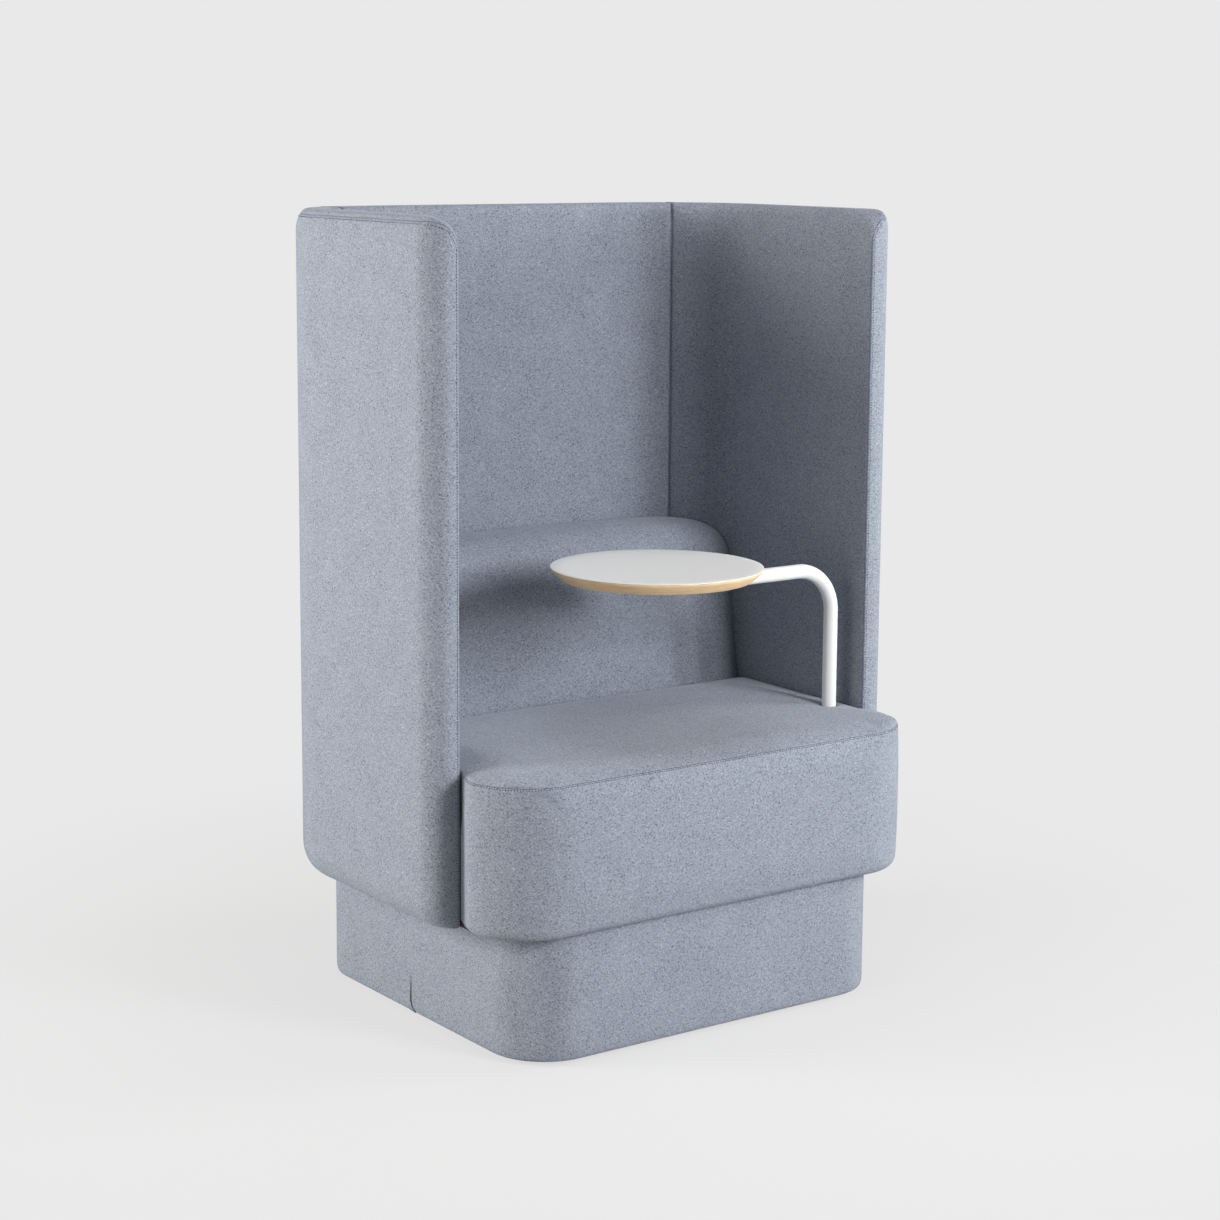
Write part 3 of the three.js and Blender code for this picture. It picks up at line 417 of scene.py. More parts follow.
wall = bmesh.new()
depth_layer = wall.verts.layers.float.new("depth")
zone_layer = wall.faces.layers.int.new("zone")
SIDE_ZONE, BACK_ZONE, SEAM_ZONE = 1, 2, 3
corner = Vector((-HALF_WIDTH + OUTER_RADIUS, BACK_Y - OUTER_RADIUS, 0))
start_y = FRONT_Y + NOSE_RADIUS
first_ring = draw_section(wall, depth_layer)
straight_steps = round((corner.y - start_y) / MESH_STEP)
ring = sweep(wall, first_ring, straight_steps, shift=(0, (corner.y - start_y) / straight_steps, 0))
seam_turn = math.degrees(SEAM_GAP / INNER_RADIUS)
ring = sweep(wall, ring, SIDE_STEPS, angle=BACK_SEAM_ANGLE - 90 + seam_turn / 2, centre=corner)
mark_zone(wall, zone_layer, SIDE_ZONE)
ring = sweep(wall, ring, 1, angle=-seam_turn, centre=corner)
mark_zone(wall, zone_layer, SEAM_ZONE)
ring = sweep(wall, ring, BACK_STEPS, angle=seam_turn / 2 - BACK_SEAM_ANGLE, centre=corner)
back_steps = round(-corner.x / MESH_STEP)
sweep(wall, ring, back_steps, shift=(-corner.x / back_steps, 0, 0))
mark_zone(wall, zone_layer, BACK_ZONE)
print("left half swept:", len(wall.faces), "faces")

# %% [markdown]
# The front of the wall is its nose: the outer side turns in over a 40 mm radius, and a flat strip
# is left beside the crisp inner edge. The open front ring is extruded forwards ring by ring, and
# each ring is narrowed from the outer side. Then everything near the front is lowered at the top.
# The inner edge is lowered most and over the longest stretch, so the top front corner is round
# both in side view and in front view, while the outer side stays high almost to its front.

# %% Build the nose
NOSE_ANGLES = (10, 20, 30, 40, 50, 57, 61.04, 67, 73, 79, 84, 90)
CREST_FROM, CREST_WIDTH = 0.015, 0.025
DROP_REACH, DROP_FADE = 0.22, 0.17


def narrowed(x, share, forward):
    """Where a point of the nose goes when its ring is this far forward of the first one."""
    sink = NOSE_RADIUS - math.sqrt(max(NOSE_RADIUS ** 2 - forward ** 2, 0))
    past = max(forward - (NOSE_RADIUS - NOSE_INNER_RADIUS), 0)
    inner_sink = NOSE_INNER_RADIUS - math.sqrt(max(NOSE_INNER_RADIUS ** 2 - past ** 2, 0))
    inner, outer = -INNER_X - inner_sink, -HALF_WIDTH + sink
    return inner + (outer - inner) * share


edges = first_ring
for angle in NOSE_ANGLES:
    edges = next_ring(wall, edges)
    forward = NOSE_RADIUS * math.sin(math.radians(angle))
    for vert in ends_of(edges):
        vert.co.x = narrowed(vert.co.x, vert[depth_layer], forward)
        vert.co.y = start_y - forward
bmesh.ops.edgeloop_fill(wall, edges=edges)
mark_zone(wall, zone_layer, SIDE_ZONE)


def front_drop(from_inner, behind):
    """How far the top is lowered at a distance from the inner face and behind the nose."""
    full = SEAM_DROP + round_inset(from_inner, TOP_CORNER_RADIUS, TOP_CORNER_RADIUS)
    outward = smooth_step((from_inner - CREST_FROM) / CREST_WIDTH)
    depth = TOP_CORNER_DEPTH + (TOP_CORNER_OUTER_DEPTH - TOP_CORNER_DEPTH) * outward
    return round_inset(behind, depth, full)


def padding(turn, beyond=0.0):
    """How far the felt stands proud of a round inner corner. It bridges the hollow and is held by
    the seam. The turn is measured from the seam toward the side, in radians."""
    height, rise, end = PINCH_BACK if turn < 0 else PINCH_SIDE
    away = abs(turn) * INNER_RADIUS + beyond
    held = max(1 - away / rise, 0) ** 2
    return height * (1 - held) * (1 - smooth_step((away - rise) / (end - rise)))


def padded_place(place, depth):
    x, y = place.x - corner.x, place.y - corner.y + BACK_EXTRA
    out = Vector((min(x, 0), max(y, 0), 0))
    turn = math.atan2(-out.x, out.y) - math.radians(BACK_SEAM_ANGLE)
    return place - out.normalized() * padding(turn, max(x, -y, 0)) * (1 - 2 * depth)


for vert in wall.verts:
    from_inner = -INNER_X - vert.co.x
    near_top = smooth_step((vert.co.z - (WALL_TOP - DROP_REACH)) / DROP_FADE)
    past = max(from_inner - (SIDE_THICKNESS - NOSE_RADIUS), 0)
    if vert.co.y < FRONT_Y + TOP_CORNER_DEPTH + NOSE_RADIUS:
        sink = NOSE_RADIUS - math.sqrt(max(NOSE_RADIUS ** 2 - past ** 2, 0))
        forward = max(start_y - vert.co.y, 0)
        squeezed = 1 - (narrowed(0, 0, forward) - narrowed(0, 1, forward)) / SIDE_THICKNESS
        round_height = CORNER_ROUND[vert[depth_layer] > 0.5, True][1]
        vert.co.z += min(WALL_TOP - vert.co.z, round_height) * squeezed * near_top
        vert.co.z -= front_drop(max(from_inner, 0), max(vert.co.y - FRONT_Y - sink, 0)) * near_top
    if vert[depth_layer] < 0.5 and vert.co.y > corner.y - 0.001:
        vert.co.y -= BACK_EXTRA
        vert.co = padded_place(vert.co, max(vert[depth_layer], 0))
bmesh.ops.mirror(wall, geom=wall.verts[:] + wall.edges[:] + wall.faces[:],
                 axis="X", merge_dist=0.0001)
bmesh.ops.recalc_face_normals(wall, faces=wall.faces)
print("whole wall:", len(wall.faces), "faces,", sum(len(f.verts) > 4 for f in wall.faces), "many-sided")

# %% [markdown]
# ## Cutting the wall into its covers
#
# The outer cover stops at a seam just below the top. Round the nose that seam turns down and runs
# along the inner front edge. Everything inside and above it is three pads, which wrap over the
# top. The wall is cut along planes, and each piece keeps only the faces on its side. Two cuts a
# good millimetre apart leave the slit of the seam, and each piece's edge is then turned in and
# rounded, as sewn cloth is, so that two pieces meet in a fine groove. A tape of felt coloured
# darker lies in the slit as painted shade, standing for the real cloth's turned-in edges in their
# own shade.

# %% Cut along the seams
NOSE_SEAM = 0.0012
SEAM_CORNER_RADIUS = 0.048
CORNER_CUTS = (18, 36, 54, 72)
PAD_BOTTOM = pad_low.z
INNER_SHARE = 0.2
put_in_order(wall)


def cut(bm, faces, point, normal, snap=0.0004):
    edges = dict.fromkeys(e for f in faces for e in f.edges)
    parts = [*faces, *edges, *ends_of(edges)]
    bmesh.ops.bisect_plane(bm, geom=parts, dist=snap, plane_co=point, plane_no=normal)


def cover_planes(side):
    """Planes that bound the outer cover, each as a point and a normal that points out of it."""
    seam_x = side * (INNER_X + NOSE_SEAM)
    centre = Vector((seam_x + side * SEAM_CORNER_RADIUS, 0, SEAM_Z - SEAM_CORNER_RADIUS))
    planes = [(Vector((seam_x, 0, 0)), Vector((-side, 0, 0)))]
    for angle in CORNER_CUTS:
        turned = math.radians(angle)
        normal = Vector((-side * math.cos(turned), 0, math.sin(turned)))
        planes.append((centre + normal * SEAM_CORNER_RADIUS, normal))
    return planes


nose_reach = FRONT_Y + NOSE_RADIUS
HALF_GAP = SEAM_GAP / 2
for side in (-1, 1):
    for point, normal in cover_planes(side):
        for step in (-HALF_GAP, HALF_GAP):
            front = [f for f in wall.faces if f.calc_center_median().y < nose_reach
                     and f.calc_center_median().x * side > INNER_X]
            cut(wall, front, point + normal * step, normal)
for step in (-HALF_GAP, HALF_GAP):
    outer_faces = [f for f in wall.faces if sum(v[depth_layer] for v in f.verts) > 0.5 * len(f.verts)
                   or f.calc_center_median().y < nose_reach]
    cut(wall, outer_faces, Vector((0, 0, SEAM_Z + step)), Vector((0, 0, 1)))
inner_faces = [f for f in wall.faces if all(v[depth_layer] < INNER_SHARE for v in f.verts)]
cut(wall, inner_faces, Vector((0, 0, PAD_BOTTOM)), Vector((0, 0, 1)))
PIECES = {"slit": 0, "cover": 1, "left": 2, "back": 3, "right": 4}
piece_layer = wall.faces.layers.int.new("piece")


def piece_of(face):
    middle = face.calc_center_median()
    depth = sum(v[depth_layer] for v in face.verts) / len(face.verts)
    side = -1 if middle.x < 0 else 1
    if middle.y < nose_reach and abs(middle.x) > INNER_X + 0.0001:
        beyond = max([(middle - p).dot(n) for p, n in cover_planes(side)] + [middle.z - SEAM_Z])
    elif depth > 0.5:
        beyond = middle.z - SEAM_Z
    else:
        beyond = math.copysign(1, middle.z - PAD_BOTTOM)
    if beyond < -HALF_GAP:
        return PIECES["cover"]
    if beyond < HALF_GAP or face[zone_layer] == SEAM_ZONE:
        return PIECES["slit"]
    if face[zone_layer] == BACK_ZONE:
        return PIECES["back"]
    return PIECES["left"] if side < 0 else PIECES["right"]


for face in wall.faces:
    face[piece_layer] = piece_of(face)
print({name: sum(f[piece_layer] == number for f in wall.faces) for name, number in PIECES.items()})

# %% Find the seams and turn the covers' edges in
def chains(edges):
    """The places along each run of joined edges, from the end that is first along the slant."""
    left = set(edges)
    runs = []
    while left:
        verts = [v for e in left for v in e.verts]
        ends = [v for v in verts if sum(x in left for x in v.link_edges) == 1]
        at = min(ends or verts, key=along_slant)
        run = [at.co.copy()]
        while True:
            onward = {e.other_vert(at): e for e in at.link_edges if e in left}
            if not onward:
                break
            at = min(onward, key=along_slant)
            left.remove(onward[at])
            run.append(at.co.copy())
        runs.append(run)
    return runs


def between(bm, layer, one, other):
    wanted = {one, other}
    return [e for e in bm.edges if len(e.link_faces) == 2
            and {f[layer] for f in e.link_faces} == wanted]


put_in_order(wall)
top_seams = chains(between(wall, piece_layer, PIECES["cover"], PIECES["slit"]))
side_seams = {}
for name, zone in (("side", SIDE_ZONE), ("back", BACK_ZONE)):
    side_seams[name] = chains([e for e in between(wall, zone_layer, zone, SEAM_ZONE)
                               if all(f[piece_layer] != PIECES["cover"] for f in e.link_faces)])
print("seams:", len(top_seams), "round the top,", {k: len(v) for k, v in side_seams.items()}, "inside")
wall_surface = BVHTree.FromBMesh(wall)
HEM_DEPTH = 0.006
HEM_ROUND = 0.0016
HEM_SINK = 0.0007
TAPE_SINK = 0.0005
TAPE_THICKNESS = 0.0006


def faces_of_piece(number):
    bm = wall.copy()
    layer = bm.faces.layers.int["piece"]
    bmesh.ops.delete(bm, geom=[f for f in bm.faces if f[layer] != number], context="FACES")
    bm.normal_update()
    return bm


def cover_piece(number):
    bm = faces_of_piece(number)
    inward = bm.verts.layers.float_vector.new("inward")
    for vert in bm.verts:
        vert[inward] = -vert.normal
    rim = [e for e in bm.edges if e.is_boundary]
    for vert in ends_of(rim):
        vert.co += vert[inward] * HEM_SINK
    for vert in ends_of(next_ring(bm, rim)):
        vert.co += vert[inward] * HEM_DEPTH
    bmesh.ops.bevel(bm, geom=rim, offset=HEM_ROUND, segments=3, profile=0.5, affect="EDGES",
                    material=-1, clamp_overlap=True)
    return bm


shell_nodes = {"cover": "shell_outer_cover", "left": "shell_side_pad_left",
               "back": "shell_back_pad", "right": "shell_side_pad_right"}
for name, node in shell_nodes.items():
    felt_piece(cover_piece(PIECES[name]), f"felt_{node}", [node])
# The tape is felt coloured darker than the cloth: painted shade in the slit of the seam.
tape = faces_of_piece(PIECES["slit"])
for vert, normal in [(v, v.normal.copy()) for v in tape.verts]:
    vert.co -= normal * TAPE_SINK
thicken(felt_piece(tape, "seam_shade_tape_shell", material=seam_shade_felt), TAPE_THICKNESS)

# %% [markdown]
# ## The stitches of the shell
#
# Beside every seam the cover is topstitched, which pulls small dark dimples into the felt. Each
# stitch is a grain of thread, three millimetres long, half sunk in the cloth. Its colour is darker
# than the thread alone: the thread's grey with the shade of its dimple painted in. A seam is walked
# at an even pitch. At each step the nearest place on the wall says where the stitch lies and which
# way is out, and a low ball is stretched along the seam there.

# %% Sew along a seam
STITCH_PITCH = 0.0046
STITCH_SIZE = Vector((0.0016, 0.0008, 0.0006))
ball = bmesh.new()
bmesh.ops.create_uvsphere(ball, u_segments=6, v_segments=4, radius=1)
stitch = bpy.data.meshes.new("stitch")
ball.to_mesh(stitch)
ball.free()


def walk(run, pitch):
    """Places at an even pitch along a run of points, each with the way the run goes there."""
    steps = []
    spare = pitch / 2
    for one, other in zip(run, run[1:]):
        length = (other - one).length
        along = (other - one).normalized()
        while spare < length:
            steps.append((one + along * spare, along))
            spare += pitch
        spare -= length
    return steps


def stretches(run, wanted):
    """The unbroken parts of a run whose places are wanted."""
    parts = [[]]
    for place in run:
        if wanted(place):
            parts[-1].append(place)
        elif parts[-1]:
            parts.append([])
    return [part for part in parts if len(part) > 1]


def sew(bm, surface, run, aside=0.0, toward=None, size=STITCH_SIZE):
    """Lays stitches beside a run, on the side where the point toward(place) lies."""
    for place, along in walk(run, STITCH_PITCH):
        on, normal, _, _ = surface.find_nearest(place)
        across = normal.cross(along).normalized()
        if toward and across.dot(toward(place) - place) < 0:
            across.negate()
        on, normal, _, _ = surface.find_nearest(on + across * aside)
        across = normal.cross(along).normalized()
        turned = Matrix((along, across, normal)).transposed().to_4x4()
        laid = Matrix.Translation(on) @ turned @ Matrix.Diagonal((*size, 1))
        stitch.transform(laid)
        bm.from_mesh(stitch)
        stitch.transform(laid.inverted())


# %% Stitch the wall
TOP_ROW = 0.0045
NOSE_ROW = 0.0055
SIDE_ROW = 0.0020
NOSE_STITCHED_TO = FRONT_Y + 0.030


def straight_down(place):
    return place - Vector((0, 0, 1))


def outward_and_down(place):
    return place + Vector((math.copysign(1, place.x), 0, -0.6))


threads = {name: bmesh.new() for name in ("nose", "top", "inner")}
for run in top_seams:
    for front in stretches(run, lambda p: p.y < NOSE_STITCHED_TO):
        sew(threads["nose"], wall_surface, front, NOSE_ROW, outward_and_down)
    for rest in stretches(run, lambda p: p.y >= NOSE_STITCHED_TO):
        sew(threads["top"], wall_surface, rest, TOP_ROW, straight_down)
for run in side_seams["back"]:
    sew(threads["inner"], wall_surface, run, SIDE_ROW, lambda p: Vector((0, p.y, p.z)))
for run in side_seams["side"]:
    sew(threads["inner"], wall_surface, run, SIDE_ROW, lambda p: Vector((p.x * 2, p.y - 1, p.z)))
for name, bm in threads.items():
    bmesh.ops.recalc_face_normals(bm, faces=bm.faces)
    # Stitch colours carry painted shade: the inner rows in the darkened seam felt, the others in the
    # darkened thread.
    felt_piece(bm, f"stitches_shell_{name}", material=seam_shade_felt if name == "inner" else thread_and_shade_felt)

# %% [markdown]
# ## Plumping a cushion
#
# A cushion is foam in a sewn cover, so it stands proud between its seams. The cover is blown up a
# little as cloth, with gravity off and its seams held, and the result is kept within a few
# millimetres of the cut shape. The cloth is then frozen into the mesh, so the piece stays plain.

# %% The function that plumps a cushion
PLUMP_FRAMES = 20
CLOTH_QUALITY, CLOTH_MASS, CLOTH_STIFFNESS = 4, 0.3, 4


def plump(piece, hold, cap, pressure=4.0):
    """Blows a cushion up. hold gives 1 where a seam keeps the cloth and 0 where it is free."""
    seams = piece.vertex_groups.new(name="seams")
    for vert in piece.data.vertices:
        seams.add([vert.index], hold(vert.co), "REPLACE")
    cloth = piece.modifiers.new("cloth", "CLOTH")
    cloth.settings.use_pressure = True
    cloth.settings.uniform_pressure_force = pressure
    cloth.settings.vertex_group_mass = "seams"
    cloth.settings.effector_weights.gravity = 0
    cloth.settings.quality = CLOTH_QUALITY
    cloth.settings.mass = CLOTH_MASS
    cloth.settings.bending_stiffness = CLOTH_STIFFNESS
    cloth.collision_settings.use_collision = False
    scene = bpy.context.scene
    cloth.point_cache.frame_end = PLUMP_FRAMES
    for number in range(1, PLUMP_FRAMES + 1):
        scene.frame_set(number)
    blown = piece.evaluated_get(bpy.context.evaluated_depsgraph_get())
    moved = [vert.co.copy() for vert in blown.data.vertices]
    farthest = 0.0
    for vert, place in zip(piece.data.vertices, moved):
        step = place - vert.co
        farthest = max(farthest, step.length)
        if step.length > cap:
            step *= cap / step.length
        vert.co += step
    piece.modifiers.remove(cloth)
    scene.frame_set(1)
    print(piece.name, "moved up to", round(farthest * 1000, 1), "mm, kept to", cap * 1000, "mm")


def pad_out(piece, hold, cap):
    plump(piece, hold, cap)
    finer = piece.modifiers.new("subdivision", "SUBSURF")
    finer.levels = 1
    finer.render_levels = 1
    finer.boundary_smooth = "PRESERVE_CORNERS"


# %% [markdown]
# ## The seat cushion
#
# The seat is one thick block: a crowned top panel sewn to a side band that runs round the two
# wide front corners. The top starts as a plain grid. Its rows lie close together by the seam, and
# its two front corners are pressed from a square into a quarter of a disc, so that the rows
# follow the seam all the way round. The band is then extruded down from the edge of the grid.

# %% Sizes of the seat cushion
seat_low, seat_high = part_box("seat_cushion")
webbing_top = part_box("seat_webbing_1")[1].z
post_low, post_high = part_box("post_foot_cap")
POST_X, POST_Y = (post_low.x + post_high.x) / 2, (post_low.y + post_high.y) / 2
POST = Vector((POST_X, POST_Y))
TUBE_RADIUS = (post_high.x - post_low.x) / 2
SEAT_BULGE = 0.003
SEAT_HALF = seat_high.x - SEAT_BULGE
SEAT_FRONT = seat_low.y + SEAT_BULGE
SEAT_REAR = seat_high.y
SEAT_BOTTOM = seat_low.z
SEAT_CROWN = 0.016
SEAT_SEAM_Z = seat_high.z - SEAT_CROWN
SEAT_CORNER = 0.110
BAY_HALF = INNER_X - 0.0004
BAY_START = FRONT_Y - 0.0004
SEAT_SHOULDER = 0.048
# The crown rises in two parts, as (share of the height, reach)
CROWN_PARTS = ((0.62, 0.010), (0.38, 0.075))
WALL_GAP = 0.0032
MOUTH_SLOPE, MOUTH_REACH = 1.5, 0.02
GAP_OPENS_OVER = 0.012
NEAR_NOSE = 0.060
RAIL_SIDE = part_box("seat_rail_right")[1].x - 0.0004
SEAT_UNDER = webbing_top + 0.0004
EDGE_ROWS = (0, 0.0013, 0.0036, 0.0075, 0.0130, 0.0200, 0.028)
SEAM_PINCH = 0.0024
EVEN_ROW = 0.0095
# Beside the nose the rows of the top panel lie closer together
ROWS_KEPT_OFF = 0.010
NOSE_ROWS = (-0.0085, -0.0045, -0.0015, 0.0010, 0.0050)
print("seat seam at", round(SEAT_SEAM_Z, 4), "underside at", round(SEAT_UNDER, 4))

# %% Lay out the top panel
def graded(low, high):
    """Where the rows of a panel lie, close together by its seams."""
    start, end = low + EDGE_ROWS[-1], high - EDGE_ROWS[-1]
    count = round((end - start) / EVEN_ROW)
    middle = [start + (end - start) * i / count for i in range(1, count)]
    return [low + r for r in EDGE_ROWS] + middle + [high - r for r in reversed(EDGE_ROWS)]


def seat_plan(u, v, inset):
    """Where a point of the square panel lies on the cushion, drawn in by the inset."""
    half, front, radius = SEAT_HALF - inset, SEAT_FRONT + inset, SEAT_CORNER - inset
    x = abs(u) * half / SEAT_HALF
    y = front + (v - SEAT_FRONT) * (SEAT_REAR - front) / (SEAT_REAR - SEAT_FRONT)
    a, b = (x - half + radius) / radius, (front + radius - y) / radius
    if a > 0 and b > 0:
        x = half - radius + radius * a * math.sqrt(1 - b * b / 2)
        y = front + radius - radius * b * math.sqrt(1 - a * a / 2)
    shoulder = smooth_step(1 - (BAY_START - y) / SEAT_SHOULDER)
    near = smooth_step((BAY_START - y) / NEAR_NOSE)
    drawn = inset * (0.35 + 0.65 * near) if inset > 0 else inset * near
    x *= (half + (BAY_HALF - drawn - half) * shoulder) / half
    return math.copysign(x, u), y


def crown(u, v):
    """The height of the top panel, as a share: quick near the seam, then slow."""
    gaps = [max(g, 1e-6) for g in (SEAT_HALF - abs(u), v - SEAT_FRONT, SEAT_REAR - v)]
    distance = sum(g ** -3 for g in gaps) ** (-1 / 3)
    return sum(share * (1 - math.exp(-distance / reach)) for share, reach in CROWN_PARTS)


seat = bmesh.new()
u_layer = seat.verts.layers.float.new("u")
v_layer = seat.verts.layers.float.new("v")
columns, rows = graded(-SEAT_HALF, SEAT_HALF), graded(SEAT_FRONT, SEAT_REAR)
rows = sorted([row for row in rows if abs(row - BAY_START) > ROWS_KEPT_OFF]
              + [BAY_START + d for d in NOSE_ROWS])
bmesh.ops.create_grid(seat, x_segments=len(columns) - 1, y_segments=len(rows) - 1, size=1)
for vert in seat.verts:
    u = columns[round((vert.co.x + 1) / 2 * (len(columns) - 1))]
    v = rows[round((vert.co.y + 1) / 2 * (len(rows) - 1))]
    vert[u_layer], vert[v_layer] = u, v
    vert.co = (*seat_plan(u, v, 0), SEAT_SEAM_Z + SEAT_CROWN * crown(u, v))
print("top panel:", len(seat.faces), "faces")

# %% Open the sleeve for the post, then drop the band
SLEEVE_RADIUS = TUBE_RADIUS + 0.0016
MOUTH_FLARE, MOUTH_DIP = 0.0022, 0.0012
HOLE_RADIUS, NEAR_POST = 0.0145, 0.04
SLEEVE_DROPS = (0.004, 0.030, 0.1)


def off_post(place):
    return (place.xy - POST).length


def put_round_post(vert, radius, z):
    out = (vert.co.xy - POST).normalized() * radius
    vert.co = (POST_X + out.x, POST_Y + out.y, z)


post_gap = [f for f in seat.faces if off_post(f.calc_center_median()) < HOLE_RADIUS]
bmesh.ops.delete(seat, geom=post_gap, context="FACES")
sleeve = [e for e in seat.edges if e.is_boundary and off_post(e.verts[0].co) < NEAR_POST]
for vert in ends_of(sleeve):
    put_round_post(vert, SLEEVE_RADIUS + MOUTH_FLARE, vert.co.z - MOUTH_DIP)
for drop in SLEEVE_DROPS:
    sleeve = next_ring(seat, sleeve)
    for vert in ends_of(sleeve):
        put_round_post(vert, SLEEVE_RADIUS, max(vert.co.z - drop, SEAT_UNDER))


FOOT_HEIGHT, FOOT_WIDTH = 0.018, 0.012
FOOT_ROWS = (0.012, 0.007, 0.0035, 0.001, 0)


def band_levels():
    """Heights of the rings of the side band, close together by the seam and at the underside."""
    levels = [SEAT_SEAM_Z - r for r in EDGE_ROWS[1:]]
    for end in (SEAT_UNDER, SEAT_BOTTOM + FOOT_HEIGHT):
        start = levels[-1]
        steps = round((start - end) / EVEN_ROW)
        levels += [start + (end - start) * i / steps for i in range(1, steps + 1)]
    return levels + [SEAT_BOTTOM + d for d in FOOT_ROWS]


edges = [e for e in seat.edges if e.is_boundary and e not in set(sleeve)]
for level in band_levels():
    edges = next_ring(seat, edges)
    inset = round_inset(level - SEAT_BOTTOM, FOOT_HEIGHT, FOOT_WIDTH)
    up = (level - SEAT_BOTTOM) / (SEAT_SEAM_Z - SEAT_BOTTOM)
    swell = SEAT_BULGE * math.sin(math.pi * up) ** 0.6
    for vert in ends_of(edges):
        vert.co = (*seat_plan(vert[u_layer], vert[v_layer], inset - swell), level)
for vert in seat.verts:
    if abs(vert.co.z - SEAT_SEAM_Z) < 0.0002:
        vert.co = (*seat_plan(vert[u_layer], vert[v_layer], SEAM_PINCH), SEAT_SEAM_Z - 0.0001)
for vert in seat.verts:
    gap = WALL_GAP * smooth_step((vert.co.z - SEAT_UNDER) / GAP_OPENS_OVER)
    limit = BAY_HALF - gap + max(BAY_START - vert.co.y, 0) * MOUTH_SLOPE
    if vert.co.y > BAY_START - MOUTH_REACH and abs(vert.co.x) > limit:
        vert.co.x = math.copysign(limit, vert.co.x)
print("with its band:", len(seat.faces), "faces")

# %% Hollow the underside over the frame
A_HAIR = 0.0001
SKIRT_END = BAY_START + 0.015
SKIRT_THICKNESS = 0.0125
RAIL_REGION = 0.35


def below_frame(face):
    return face.calc_center_median().z < SEAT_UNDER - A_HAIR


cut(seat, [f for f in seat.faces if below_frame(f)], (0, SKIRT_END, 0), (0, 1, 0), snap=A_HAIR)
hidden = [f for f in seat.faces if below_frame(f) and f.calc_center_median().y > SKIRT_END
          and off_post(f.calc_center_median()) > 0.03]
bmesh.ops.delete(seat, geom=hidden, context="FACES")
lip = next_ring(seat, [e for e in seat.edges if e.is_boundary and e not in set(sleeve)])
for vert in ends_of(lip):
    if vert.co.z < SEAT_UNDER - A_HAIR:
        x, y = seat_plan(vert[u_layer], vert[v_layer], SKIRT_THICKNESS)
        outer = abs(vert.co.x)
        inner = min(outer, max(abs(x), RAIL_SIDE)) if outer > RAIL_REGION else abs(x)
        vert.co.x = math.copysign(inner, vert.co.x)
        vert.co.y = min(y, SKIRT_END) if vert.co.y < SKIRT_END - A_HAIR else vert.co.y
for vert in ends_of(next_ring(seat, lip)):
    vert.co.z = SEAT_UNDER
bmesh.ops.remove_doubles(seat, verts=seat.verts, dist=A_HAIR)
rim = [e for e in seat.edges if e.is_boundary]
bmesh.ops.triangle_fill(seat, edges=rim, use_beauty=True, use_dissolve=False, normal=(0, 0, -1))
bmesh.ops.recalc_face_normals(seat, faces=seat.faces)
print("closed:", not any(e.is_boundary for e in seat.edges), len(seat.faces), "faces")

# %% Plump the seat
seat_cushion = felt_piece(seat, "felt_seat_cushion", ["seat_cushion"])


def seat_hold(place):
    """1 at the seam, round the post, along the frame and walls, and on the skirt."""
    inside_skirt = place.y > SEAT_FRONT + 0.011 and abs(place.x) < SEAT_HALF - 0.011
    return float(
        abs(place.z - SEAT_SEAM_Z) < 0.001
        or off_post(place) < 0.025
        or place.y > SEAT_REAR - 0.02
        or (abs(place.x) > BAY_HALF - 0.012 and place.y > BAY_START - 0.01)
        or (place.z < SEAT_UNDER + 0.001 and place.y > BAY_START - 0.05)
        or place.z < SEAT_BOTTOM + 0.02
        or (place.z < SEAT_UNDER and inside_skirt))


pad_out(seat_cushion, seat_hold, cap=0.004)

# %% Sew the seat's seam
SEAT_ROW = 0.0028
# Grains of dark thread laid on the seam line itself are painted shade: they draw the dark line of the
# seam.
SEAM_SHADE_GRAINS = Vector((0.0027, 0.0006, 0.0005))
plumped = bmesh.new()
plumped.from_object(seat_cushion, bpy.context.evaluated_depsgraph_get())
seat_surface = BVHTree.FromBMesh(plumped)
plumped.free()
held = bmesh.new()
held.from_mesh(seat_cushion.data)
on_seam = [e for e in held.edges if all(abs(v.co.z - SEAT_SEAM_Z) < 0.0003 for v in e.verts)]
seam_line_and_stitches = bmesh.new()
for run in chains(on_seam):
    for front in stretches(run, lambda p: p.y < BAY_START):
        # The grains on the seam line paint its shade; the row below it is the topstitching.
        sew(seam_line_and_stitches, seat_surface, front, size=SEAM_SHADE_GRAINS)
        sew(seam_line_and_stitches, seat_surface, front, SEAT_ROW, straight_down)
held.free()
bmesh.ops.recalc_face_normals(seam_line_and_stitches, faces=seam_line_and_stitches.faces)
felt_piece(seam_line_and_stitches, "seat_stitches_and_seam_shade", material=thread_and_shade_felt)

# %% [markdown]
# ## The lumbar cushion
#
# The lumbar cushion leans back from the seat and rolls over at its top. Its side view is the same
# along its length, except that it rounds off at both ends. So one ring of points is laid round
# that side view and extruded station by station from end to end, and each ring is drawn in by as
# much as the rounding asks. Behind it a step leaves room for its board and bracket.

# %% Sizes and side view of the lumbar cushion
back_low, back_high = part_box("backrest_cushion")
board_low, board_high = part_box("backrest_board")
bracket_low, bracket_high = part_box("backrest_bracket")
BACKREST_HALF = back_high.x
INNER_TURN = Vector((INNER_X - INNER_RADIUS, back_high.y + 0.0004 - INNER_RADIUS))
SHOULDER_Y = back_high.y + 0.0004 - 0.136
SHOULDER_Z = 0.698
TOP_Y = back_high.y + 0.0004 - 0.046
SLACK = 0.002
LUMBAR_SAG = 0.008
# How the cushion rounds off at its ends, as (length, depth)
END_ROUND_DOWN, END_ROUND_IN = (0.110, 0.014), (0.040, 0.018)
ROLL_BACK = 0.012
FIT = 0.0005
CLEAR_OF_WALL = 0.0006


